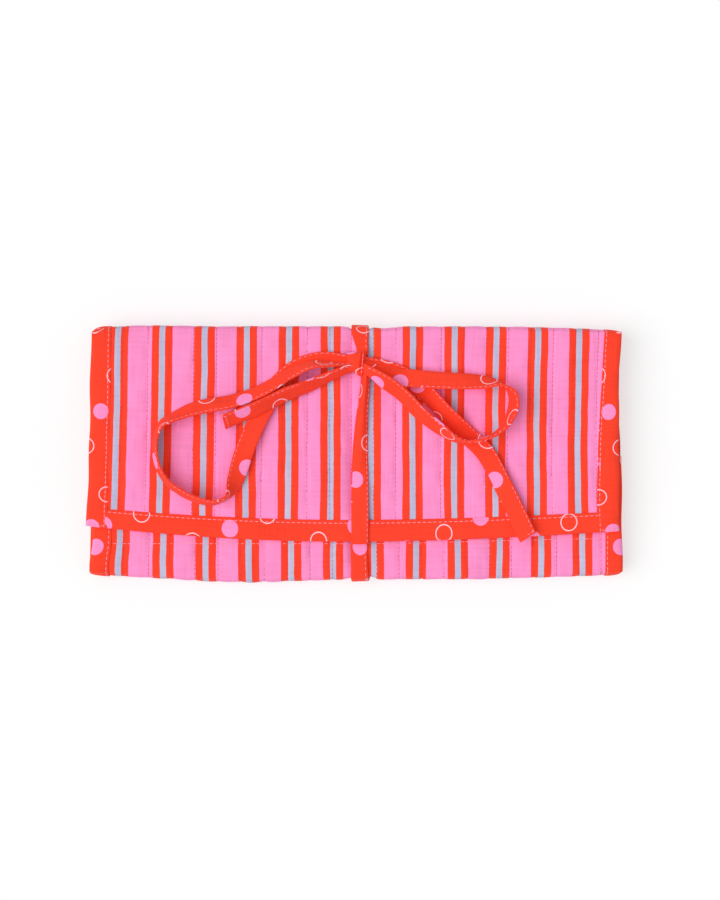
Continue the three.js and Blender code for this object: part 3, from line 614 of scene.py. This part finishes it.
def curve(points, at):
    """A smooth curve through the points; at runs from 0 to their number less one."""
    full = np.concatenate([[2 * points[0] - points[1]], points, [2 * points[-1] - points[-2]]])
    i = np.clip(at.astype(int), 0, len(points) - 2)
    w = (at - i)[:, None]
    p0, p1, p2, p3 = full[i], full[i + 1], full[i + 2], full[i + 3]
    d0, d1, d2 = (np.sqrt(np.linalg.norm(b - a, axis=1))[:, None] for a, b in ((p0, p1), (p1, p2), (p2, p3)))
    m1 = ((p1 - p0) / d0 - (p2 - p0) / (d0 + d1) + (p2 - p1) / d1) * d1
    m2 = ((p2 - p1) / d1 - (p3 - p1) / (d1 + d2) + (p3 - p2) / d2) * d1
    return p1 + m1 * w + (3 * (p2 - p1) - 2 * m1 - m2) * w ** 2 + (2 * (p1 - p2) + m1 + m2) * w ** 3


def section(flat=6, turn=3):
    """A flat band's outline: half widths from -1 to 1 and half heights from -1 to 1, with round edges."""
    line = np.linspace(-0.9, 0.9, flat)
    bow = np.radians(np.linspace(90, -90, turn + 2)[1:-1])
    half = [(a, 1.0) for a in line] + [(0.9 + 0.1 * math.cos(q), math.sin(q)) for q in bow]
    return np.array(half + [(-a, -b) for a, b in half])


BAND = section()
BAND_ACROSS, BAND_UP = BAND[None, :, 0], BAND[None, :, 1]
BAND_ROUND = run_of(np.vstack([BAND, BAND[:1]]) * (TIE_W / 2, TIE_T / 2)) - TIE_W / 2


def frames(route, steps):
    """Centres and frames along a route: middle, along, wide and thick."""
    route = np.asarray(route, float)
    at = np.linspace(0, len(route) - 1, steps)
    middle = curve(route[:, :3] + (KNOT_X, KNOT_Y, FLAP_TOP), at)
    roll = np.radians(np.interp(at, np.arange(len(route)), route[:, 3]))
    roll = np.convolve(np.pad(roll, 2, mode="edge"), np.ones(5) / 5, mode="valid")
    along = np.gradient(middle, axis=0)
    along /= np.linalg.norm(along, axis=1, keepdims=True)
    flat = np.stack([-along[:, 1], along[:, 0], np.zeros(steps)], axis=1)
    flat /= np.linalg.norm(flat, axis=1, keepdims=True)
    up = np.cross(along, flat)
    wide = flat * np.cos(roll)[:, None] + up * np.sin(roll)[:, None]
    return middle, along, wide, np.cross(along, wide)


def between(field, at):
    """Rows of a field of values, read at and between its stations."""
    low = at.astype(int).clip(0, len(field) - 2)
    part = (at - low)[:, None]
    return field[low] * (1 - part) + field[low + 1] * part


def band(name, route, steps, width=TIE_W, hem=0.0, slant=0.0, seam=-1, tent=0, near=(1, 1), far=(1, 1),
         start=0.0):
    """A stitched flat tie along a route. hem thickens its far end and slant cuts it askew; seam is the edge
    that is sewn; tent folds it along its middle, in degrees along the route; near and far gather it at the
    knot, as a share of the width and the length it takes; start moves the print along it."""
    middle, along, wide, thick = frames(route, steps)
    run = run_of(middle)
    left = run[-1] - run
    width = width * (1 - (1 - near[0]) * smooth(1 - run / near[1]))
    width = (width * (1 - (1 - far[0]) * smooth(1 - left / far[1])))[:, None]
    pitch = np.radians(spread(tent, np.linspace(0, 1, steps)))[:, None]
    depth = TIE_T / 2 + (0.28 * smooth((hem - left) / 0.8 + 0.5) if hem else 0 * run)[:, None]
    askew = slant * smooth(1 - left / CUT)[:, None] / TIE_W
    a = BAND_ACROSS * width / 2
    wave = 0.14 * np.sin(run / 3.7)[:, None] * BAND_ACROSS ** 2 + 0.1 * ripple(run[:, None], a, 5, 1.1)
    b = BAND_UP * depth + wave - np.abs(a) * np.sin(pitch)
    rings = middle[:, None] + wide[:, None] * (a * np.cos(pitch))[..., None]
    rings = rings + thick[:, None] * b[..., None] + along[:, None] * (askew * a)[..., None]
    piece = tube(name, rings, grid(BAND_ROUND[None, :], run[:, None] + start), PRINT)

    at = np.interp((np.arange(int(run[-1] / STITCH_STEP)) + 0.5) * STITCH_STEP, run, np.arange(steps))
    reach = between(width, at) / 2 - 0.8
    slope = between(pitch, at)
    line = between(middle, at) + between(wide, at) * seam * reach * np.cos(slope)
    normal = between(thick, at)
    rows = []
    for sign in (1, -1):
        half = between(depth, at) + 0.03 - sign * reach * np.sin(slope)
        rows.append((line + normal * half * sign, between(along, at), normal * sign))
    if hem:
        base = int(np.searchsorted(-left, -hem * 0.55))
        end = np.linspace(-0.34, 0.34, 4)[:, None] * TIE_W
        spot = middle[base] + wide[base] * end + along[base] * end * askew[base]
        for sign in (1, -1):
            up = thick[base] * sign
            rows.append((spot + up * (depth[base] - 0.02), np.tile(wide[base], (4, 1)), np.tile(up, (4, 1))))
    return joined(piece, sewn_rows(name, rows, 1.7, 0.26)), middle, run[-1]


for name, route, steps, end, form in (
    ("tie_loop_left", LOOP_LEFT, 220, "object", {"near": (0.4, 24), "far": (0.6, 50), "start": -34}),
    ("tie_loop_right", LOOP_RIGHT, 190, "object", {"near": (0.6, 16), "far": (0.6, 16), "start": 41.5}),
    ("tie_tail_left", TAIL_LEFT, 90, "bare", {"hem": HEM, "slant": 1.5, "near": (0.6, 34)}),
    ("tie_tail_right", TAIL_RIGHT, 130, "bare",
     {"hem": HEM, "slant": -1.5, "seam": 1, "near": (0.8, 16), "start": -30}),
):
    piece, middle, length = band(name, route, steps, **form)
    keep(piece, "flap", "tie", name)
lower_strap = band("tie_flap_lower", STRAP, 120, width=STRAP_W, seam=1, tent=STRAP_TENT, start=8.5)[0]
keep(lower_strap, "flap", "tie", "tie_flap_lower")


# Quilted covers, linings and folds

LAP = 0.6  # how far a binding's inner edges lap past its nominal line
UNDER = BIND - 1.5  # how far a panel's free end stops short of the outside of its binding
SPAN = {
    "flap": (UNDER / LENGTH["flap"], 1.0),
    "back": (0.0, 1.0),
    "front": (0.0, 1 - UNDER / LENGTH["front"]),
}


def cover_grid(part, near, far, step):
    """Grid of cloth coordinates of a cover: u across, s along, with more columns where the channels turn."""
    columns = [
        np.linspace(a, b, max(4, round((b - a) * 1.06)), endpoint=False)
        for a, b in zip(LINES[:-1], LINES[1:])
    ]
    u = np.concatenate(columns + [[COVER_RIGHT]])
    s = np.linspace(near, far, max(3, round((far - near) * LENGTH[part] / step)))
    return np.meshgrid(u, s)


def fullness(part, s, near, far):
    """How far the channels stand up: less round a fold, and nothing under an end binding."""
    least = 0.35
    if part not in SPAN:
        return np.full_like(s, least)
    ends = np.minimum((s - near) if near > 0 else 1, (far - s) if far < 1 else 1) * LENGTH[part]
    fold = np.minimum(s if part != "flap" else 1, (1 - s) if part != "front" else 1) * LENGTH[part]
    return smooth((ends - 2.2) / 4) * (least + (1 - least) * smooth(fold / 6))


def inner_edge(part, side, s):
    """How far inside its nominal line a side binding's inner edge lies: the right one flares toward the
    flap's free edge."""
    if side < 0:
        return np.full_like(s, -0.3)
    if part == "flap":
        return np.interp(s, [0, 0.24, 0.5, 0.76, 1], [0.7, 0.5, -0.4, -1.6, -2.2])
    return np.full_like(s, -2.2)


def sunk(part, u, s):
    """How far the inner face sinks at its sides and its free end, where the bindings lie over it."""
    line = X_IN - LAP - np.where(u > 0, inner_edge(part, 1, s), inner_edge(part, -1, s))
    over = np.abs(u) - line
    if part in SPAN:
        from_end = {"flap": s, "front": 1 - s}.get(part, np.ones_like(s)) * LENGTH[part]
        over = np.maximum(over, BIND + LAP - from_end)
    return 0.4 * smooth((over + 1.2) / 1.5)


def cover(part, near=0.0, far=1.0, step=1.3):
    """Outer and inner face of a stretch of quilt, and its cloth coordinates."""
    u, s = cover_grid(part, near, far, step)
    v = START[part] + s * LENGTH[part]
    if part in SPAN:
        inner = LINING + 0.03
    else:
        inner = (0.1 if part in BENDS else 0.0) + sunk(part, u, s)
    x = drawn(u, v)
    return lay(part, x, s, quilt(u, v, fullness(part, s, near, far))), lay(part, x, s, inner), grid(u, v)


def quilting(part, near=0.0, far=1.0):
    """Stitches along the sewn lines of one stretch."""
    count = max(1, int((far - near) * LENGTH[part] / QUILT_STEP))
    u, s = np.meshgrid(LINES[1:-1], near + midway(count) * (far - near))
    v = START[part] + s * LENGTH[part]
    row = row_on(part, drawn(u, v), s, quilt(u, v, fullness(part, s, near, far)), over=0.04)
    return sewn(part + "_quilting_thread", *(field.reshape(-1, 3) for field in row), QUILT_THREAD, 1.75, 0.22)


def lining_of(part, near, far):
    """The plain cloth inside a panel, a little hollow under the channels."""
    u, s = cover_grid(part, near, far, 2.5)
    v = START[part] + s * LENGTH[part]
    hollow = 0.02 + 0.1 * (1 - (quilt(u, v) - 2.3) / 1.3) + sunk(part, u, s)
    return slab(part + "_lining", lay(part, u, s, LINING), lay(part, u, s, hollow), grid(u, v), [LINED])


for part, (near, far) in SPAN.items():
    quilted = slab(part + "_cover", *cover(part, near, far), [COVER])
    keep(quilted, part, "striped_cover", part + "_cover", part + "_wadding")
    keep(quilting(part, near, far), part, "striped_cover")
    lining = keep(lining_of(part, near, far), part, "lining", part + "_lining")

for part in FOLDS:
    fold = slab(part, *cover(part, step=0.9), [COVER, LINED])
    fold = joined(fold, quilting(part))
    keep(fold, part, "striped_cover", part)


# Bindings: a strip of printed cotton folded over each edge and sewn through

SEAM_T = 3.2  # height of the outer row of stitches
SIDES = {1: "right", -1: "left"}
FREE_END = {"flap": slice(0, 2), "front": slice(-2, None)}


def folded(seam):
    """The strip's section from upper to lower edge, drawn in at the seam: across and height."""
    form = np.array([
        (-LAP, 2.8), (-0.5, 3.08), (0.2, 3.2), (seam - 0.5, 3.2), (seam, 3.08), (seam + 0.5, 3.2),
        (seam + 1.4, 3.32), (5.6, 3.36), (7.4, 3.25), (8.8, 2.95), (9.6, 2.45), (10.0, 1.8), (9.7, 1.1),
        (9.0, 0.5), (7.6, 0.2), (5.2, 0.1), (2.5, 0.12), (0.4, 0.02), (-LAP, 0.12),
    ])
    return form[None, :, 0], form[None, :, 1]


def outward_of(points, inside):
    """Unit normals of a grid of points, pointing away from the points inside."""
    normal = np.cross(np.gradient(points, axis=1), np.gradient(points, axis=0))
    normal = normal / np.linalg.norm(normal, axis=-1, keepdims=True)
    return normal if np.mean(np.sum(normal * (points - inside), axis=-1)) > 0 else -normal


def strip(name, points, v, outward):
    """A folded strip over rows of section points, closed with the cloth's thickness."""
    uv = grid(run_of(points[0])[None, :] - 8, v[:, None])
    return slab(name, points, points - outward * 0.5, uv, [PRINT], 60)


def side_binding(part, side):
    """The binding over one side of a stretch; side is 1 for the right one and -1 for the left one."""
    name = "%s_binding_%s" % (part, SIDES[side])
    s = np.linspace(0, 1, max(4, round(LENGTH[part] / (1.6 if part in SPAN else 0.8))))
    v = START[part] + s * LENGTH[part]
    down = v[:, None]
    seam = 0.9 if side < 0 else 0.7
    a, t = folded(seam)
    out = np.clip(a / BIND, 0, 1)
    uneven = 0.12 * ripple(a, down, 4, side) + 0.1 * ripple(a, down, 13, 2 + side)
    wave = 0.4 * ripple(down, down * 0, 11, 1.5 * side)
    a = a + wave * out - inner_edge(part, side, s)[:, None] * (1 - out)
    points = lay(part, side * (X_IN + a), s[:, None], t + uneven * (t > 1))
    normal = outward_of(points, lay(part, side * (X_IN + BIND / 2), s[:, None], QUILT / 2))
    piece = strip(name, points, v, normal)
    if part in FREE_END:
        rows = FREE_END[part]
        marks = grid(np.arange(a.shape[1] + 1)[None, :] - 4.0, down[rows])
        piece = joined(piece, tube(name + "_end", (points - normal * 0.4)[rows], marks, PRINT))

    s = midway(max(1, int(LENGTH[part] / STITCH_STEP)))
    x = side * (X_IN + seam - inner_edge(part, side, s) * (1 - seam / BIND))
    x = x + 0.15 * ripple(s * LENGTH[part], s * 0, 6, side)
    rows = [row_on(part, x, s, SEAM_T), row_on(part, x, s, 0, -1)]
    if part == "flap":
        x = side * (X_IN + np.linspace(seam + 1, BIND - 1.4, 4))
        rows.append(row_on(part, x, np.full(4, 1.1 / LENGTH[part]), SEAM_T + 0.32, across=True))
    return joined(piece, sewn_rows(name, rows))


for side, label in SIDES.items():
    for part in PARTS:
        piece = side_binding(part, side)
        nodes = ["%s_binding_%s" % (part.split("_")[0], label)] if part in BODY else []
        keep(piece, part, "binding", *nodes)


def end_binding(part, at, sign):
    """The binding over a panel's free edge, at share at of its stretch; sign is the way the edge faces."""
    name = part + "_binding_end"
    x = np.linspace(-X_IN - 0.8, X_IN + (4 if part == "front" else 0), 170)
    over = x[:, None]
    seam = 1.0
    a, t = folded(seam)
    uneven = 0.12 * ripple(a, over, 4, sign) + 0.12 * ripple(a, over, 15, 2 + sign)
    points = lay(part, over, at + sign * (a - BIND) / LENGTH[part], t + uneven * (t > 1))
    inside = lay(part, over, at - sign * BIND / 2 / LENGTH[part], QUILT / 2)
    piece = strip(name, points, x + 400, outward_of(points, inside))
    x = -X_IN + midway(int(2 * X_IN / STITCH_STEP)) * 2 * X_IN
    s = np.full_like(x, at + sign * (seam - BIND) / LENGTH[part])
    rows = [row_on(part, x, s, SEAM_T, across=True), row_on(part, x, s, 0, -1, across=True)]
    return joined(piece, sewn_rows(name, rows))


keep(end_binding("flap", 0.0, -1), "flap", "binding", "flap_binding_end")
keep(end_binding("front", 1.0, 1), "front", "binding", "front_binding_end")


# The seam of the front pocket, which shows across the front panel under the flap's edge
x = np.arange(-X_IN + 2, X_IN - 2, STITCH_STEP)
s = share("front", edge("front_pocket", 1, 0) + 2.4 * smooth(x / X_IN))
v = START["front"] + s * LENGTH["front"]
row = row_on("front", x, s, quilt(2 * x - drawn(x, v), v) + 0.05, across=True)
keep(sewn("front_pocket_seam", *row, EDGE_THREAD, 2.1, 0.3), "front", "pocket")


# The tie's sewn lengths round the roll


def strap(name, part, near=0.0, far=1.0, width=STRAP_W, low=2.95, thick=TIE_T, shift=STRAP_SHIFT, rise=0.0):
    """A stretch of the tie lying on the quilt; width, shift and rise are numbers or lists along it."""
    length = abs(far - near) * LENGTH[part]
    q = np.linspace(0, 1, max(4, round(length / 1.2)))[:, None]
    s = near + q * (far - near)
    v = START[part] + s * LENGTH[part]
    a = BAND_ACROSS * spread(width, q) / 2
    t = low + spread(rise, q) + thick * (BAND_UP + 1) / 2 + 0.08 * ripple(a, v, 5, 0.8) * (BAND_UP > 0)
    rings = lay(part, TIE_X + spread(shift, q) + a, s, t)
    piece = tube(name, rings, grid(BAND_ROUND[None, :], v), PRINT)
    q = midway(max(1, int(length / STITCH_STEP)))
    x = TIE_X + spread(shift, q) + spread(width, q) / 2 - 1.2
    row = row_on(part, x, near + q * (far - near), low + spread(rise, q) + thick + 0.08)
    return joined(piece, sewn_rows(name, [row], 1.7, 0.3))


BACK_T = 0.8  # the tie is pressed thinner where the roll lies on it
for name, part, form in (
    ("tie_flap_upper", "flap", {"near": share("flap", 48.5), "width": [5.5, 6.2, 7.4, STRAP_W],
                                "shift": [0.6, 0.4, -0.3, STRAP_SHIFT], "rise": [1.2, 0.3, 0, -0.65]}),
    ("tie_front", "front", {"far": share("front", FLAP_END - 3.0), "width": 8.4,
                            "shift": [FRONT_SHIFT, -2.0], "rise": [-0.65, 0, 0, 0.1, 0.8]}),
    ("tie_back", "back", {"low": 2.72, "thick": BACK_T, "rise": [-0.42] + [0] * 12 + [-0.42]}),
):
    keep(strap(name, part, **form), part, "tie", name)
FOLD_SHIFT = {"bottom_spine": [STRAP_SHIFT, FRONT_SHIFT], "bottom_front_fold": FRONT_SHIFT}
for part in FOLDS:
    thick = BACK_T if part in ("top_back_fold", "bottom_back_fold") else TIE_T
    piece = strap("tie_" + part, part, low=2.3, thick=thick, shift=FOLD_SHIFT.get(part, STRAP_SHIFT))
    nodes = ["tie_%s_turn" % part.split("_")[0]] if part in BODY else []
    keep(piece, part, "tie", *nodes)


def knot():
    """A gathered turn of the tie over the crossing, with a raised fold down its right side."""
    x, y = np.meshgrid(np.linspace(-1, 1, 44), np.linspace(-1, 1, 52))
    dome = np.sqrt(np.clip(1 - np.abs(x) ** 2.6, 0, 1) * np.clip(1 - np.abs(y) ** 2.8, 0, 1))
    lean = 0.05 * y
    fold = 1.1 * hill(x - lean, 0.76, 0.13) - 0.9 * hill(x - lean, 0.54, 0.06)
    gather = 0.3 * np.sin(9 * y + 4 * x) * smooth(0.4 - x)
    gather = gather + 0.12 * np.sin(17 * y - 3 * x) * smooth((0.5 - x) / 0.4)
    z = FLAP_TOP + 0.2 + 6.2 * dome + (fold + gather) * np.sqrt(dome)
    drawn_up = 2.7 * np.clip(-y, 0, 1) ** 1.5 * smooth((0.6 - x) / 0.9)
    top = grid(KNOT_X - 1.7 + 5.0 * x + 0.5 * y, KNOT_Y - 1.1 + 6.4 * y + 0.6 * x + drawn_up, z)
    bottom = top * (1, 1, 0) + (0, 0, FLAP_TOP + 0.1)
    piece = slab("tie_knot", top, bottom, grid(x * 5 + 14, y * 9 + 14), [PRINT], 70)
    line = top[8:46:8, 36] + (0, 0, 0.06)
    row = line, np.gradient(line, axis=0), np.tile((0, 0, 1.0), (len(line), 1))
    return joined(piece, sewn_rows("tie_knot", [row], 1.5, 0.3))


keep(knot(), "flap", "tie", "tie_knot")


# Inside: pockets, zips and the ring bar. A face is 1 where it looks up in the closed roll, else -1


def pocket(name, face, bulge):
    """A flat pocket cloth inside the box of its node, softly bulged, its sewn edges pressed down."""
    (x0, y0, z0), (x1, y1, z1) = box_of(name)
    x, y = np.meshgrid(np.linspace(x0, x1, 90), np.linspace(y0, y1, max(6, round((y1 - y0) / 2.2))))
    margin = np.minimum(np.minimum(x - x0, x1 - x), np.minimum(y - y0, y1 - y))
    lift = bulge * smooth(margin / 14) * (0.75 + 0.25 * ripple(x, y, 17, 0.6)) - 0.25 * hill(margin, 0, 0.8)
    base, skin = (z0, z1) if face > 0 else (z1, z0)
    outer = grid(x, y, skin + face * (lift - 0.1))
    inner = grid(x, y, base + face * np.maximum(lift - 0.3, 0.03))
    piece = slab(name, outer, inner, grid(x, y), [POCKET])
    z = skin + face * 0.02
    rows = [
        row_between((x0 + 2, line, z), (x1 - 2, line, z), int((x1 - x0) / STITCH_STEP), face)
        for line in (y0 + 1.5, y1 - 1.5)
    ]
    return joined(piece, sewn_rows(name, rows)), (x1 - x0, y1 - y0)


for name, body, face, bulge in (
    ("back_pocket", "back", 1, 0.5), ("back_pocket_header", "back", 1, 0.05),
    ("flap_pocket", "flap", -1, 0.5), ("flap_pocket_header", "flap", -1, 0.2),
    ("front_pocket", "front", -1, 0.6),
):
    piece, (wide, deep) = pocket(name, face, bulge)
    keep(piece, body, "pocket", name)


def zip_tape(name, face, upper):
    """One woven tape of a zip, ribbed along its length and sewn down at its outer edge."""
    (x0, y0, z0), (x1, y1, z1) = box_of(name)
    x, y = np.meshgrid(np.linspace(x0, x1, 120), np.linspace(y0, y1, 12))
    rib = 0.06 * np.sin(y * 2 * math.pi / 1.4) + 0.05 * ripple(x, y, 9, 0.5)
    skin, base = (z1 - 0.08, z0 + 0.02) if face > 0 else (z0 + 0.08, z1 - 0.02)
    piece = slab(name, grid(x, y, skin + rib), grid(x, y, base), grid(x, y), [TAPE])
    line, z = (y1 - 1.4 if upper else y0 + 1.4), skin + face * 0.08
    row = row_between((x0 + 2, line, z), (x1 - 2, line, z), int((x1 - x0) / STITCH_STEP), face)
    return joined(piece, sewn_rows(name, [row]))


def zip_coil(name):
    """The nylon coil of a closed zip: two rows of turns that mesh, 1.25 mm apart."""
    (x0, y0, z0), (x1, y1, z1) = box_of(name)
    count = int((x1 - x0) / 1.25)
    x = np.linspace(x0 + 0.5, x1 - 0.5, count)
    rows = []
    for sign in (1, -1):
        at = grid(x + 0.3 * sign, (y0 + y1) / 2 + sign * 0.75, (z0 + z1) / 2)
        rows.append((at, np.tile((0.12 * sign, 1.0, 0), (count, 1)), np.tile((0, 0, 1.0), (count, 1))))
    return sewn(name, *(np.concatenate(c) for c in zip(*rows)), COIL, 2.3, 1.0)


for panel, face in (("back", 1), ("flap", -1)):
    for half in ("lower", "upper"):
        name = "%s_zip_tape_%s" % (panel, half)
        keep(zip_tape(name, face, half == "upper"), panel, "zip_tape", name)
    name = panel + "_zip_coil"
    keep(zip_coil(name), panel, "zip_coil", name)


def stuffed_bar(name):
    """The padded ring bar: a stuffed tube with puckered ends and a seam."""
    (x0, y0, z0), (x1, y1, z1) = box_of(name)
    length, radius = x1 - x0, (y1 - y0) / 2
    x = np.linspace(0, 1, 130)[:, None]
    q = np.linspace(0, 2 * math.pi, 28, endpoint=False)[None]
    end = np.minimum(x, 1 - x) * length
    swell = np.clip(np.sqrt(np.clip(end / 5, 0.02, 1)), 0.3, 1)
    wrinkle = 0.12 * ripple(x * length, q * radius, 4, 0.9) - 0.35 * hill(q, 1.2, 0.12)
    gather = 0.22 * np.sin(q * 9) * hill(end, 0, 5)
    r = ((radius - 0.15) * (1 - 0.02 * np.sin(x * 40)) + wrinkle) * swell + gather
    rings = grid(x0 + x * length, (y0 + y1) / 2 + r * np.cos(q), (z0 + z1) / 2 + r * np.sin(q))
    around = np.linspace(0, 2 * math.pi * radius, q.size + 1)
    return tube(name, rings, grid(around[None] - 12, x * length), COVER)


def bar_strap(name, low, sign):
    """A short length of tie from the bar's end down to the height low; sign says which way it runs."""
    (x0, y0, z0), (x1, y1, z1) = box_of(name)
    x = np.linspace(0, 1, 40)
    line = x0 + x * (x1 - x0) if sign > 0 else x1 - x * (x1 - x0)
    drop = (z1 - 0.5) - (z1 - 0.9 - low) * smooth(x / 0.42)
    rings = grid(line[:, None], (y0 + y1) / 2 + BAND_ACROSS * (y1 - y0) / 2, drop[:, None] + BAND_UP * 0.38)
    around = np.linspace(0, 20, len(BAND) + 1)
    piece = tube(name, rings, grid(around[None] - 5, (x * 20)[:, None] + 9), PRINT)
    seam, z = line[-5], drop[-5] + 0.4
    row = row_between((seam, y0 + 1.2, z), (seam, y1 - 1.2, z), 6)
    return joined(piece, sewn_rows(name, [row], 1.2, 0.3))


bar = keep(stuffed_bar("ring_bar"), "back", "striped_cover", "ring_bar")
for name, low, sign in (("ring_bar_anchor", 4.45, -1), ("ring_bar_tab", 5.7, 1)):
    keep(bar_strap(name, low, sign), "back", "binding", name)

METAL = ("back_zip_slider", "back_zip_pull", "flap_zip_slider", "flap_zip_pull", "snap_socket", "snap_cap")
for name in METAL:
    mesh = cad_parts[name].data
    mesh.materials.clear()
    mesh.materials.append(BRASS)


# Stage: a white floor, daylight from all round and a soft key from the left, a little below the middle
bpy.ops.mesh.primitive_plane_add(size=6, location=(0, 0, -0.4 * MM))
floor = bpy.context.object
floor.name = "floor"
paper, tree, shader = new_material("white_paper")
shader.inputs["Base Color"].default_value = (0.97, 0.97, 0.97, 1)
shader.inputs["Roughness"].default_value = 0.9
shader.inputs["Specular IOR Level"].default_value = 0.1
glow = node(tree, "Emission", {"Color": (1, 1, 1, 1), "Strength": 1.0})
seen = node(tree, "LightPath", out="Is Camera Ray")
for ray in ("Is Glossy Ray", "Is Transmission Ray"):
    seen = node(tree, "Math", {0: seen, 1: node(tree, "LightPath", out=ray)}, operation="MAXIMUM")
seen = node(tree, "Math", {0: seen, 1: 0.6}, operation="MULTIPLY")
both = node(tree, "MixShader", {0: seen, 1: shader.outputs[0], 2: glow})
tree.links.new(both, tree.nodes["Material Output"].inputs[0])
floor.data.materials.append(paper)

world = bpy.data.worlds.new("daylight")
world.use_nodes = True
world.node_tree.nodes["Background"].inputs["Color"].default_value = (1, 1, 1, 1)
world.node_tree.nodes["Background"].inputs["Strength"].default_value = 0.55
bpy.context.scene.world = world

key = bpy.data.lights.new("key", "SUN")
key.energy = 1.95
key.angle = math.radians(54)
key_object = bpy.data.objects.new("key", key)
key_object.rotation_euler = Vector((-0.7, -0.15, 1.0)).to_track_quat("Z", "Y").to_euler()
bpy.context.scene.collection.objects.link(key_object)

bpy.context.scene.view_settings.view_transform = "Standard"
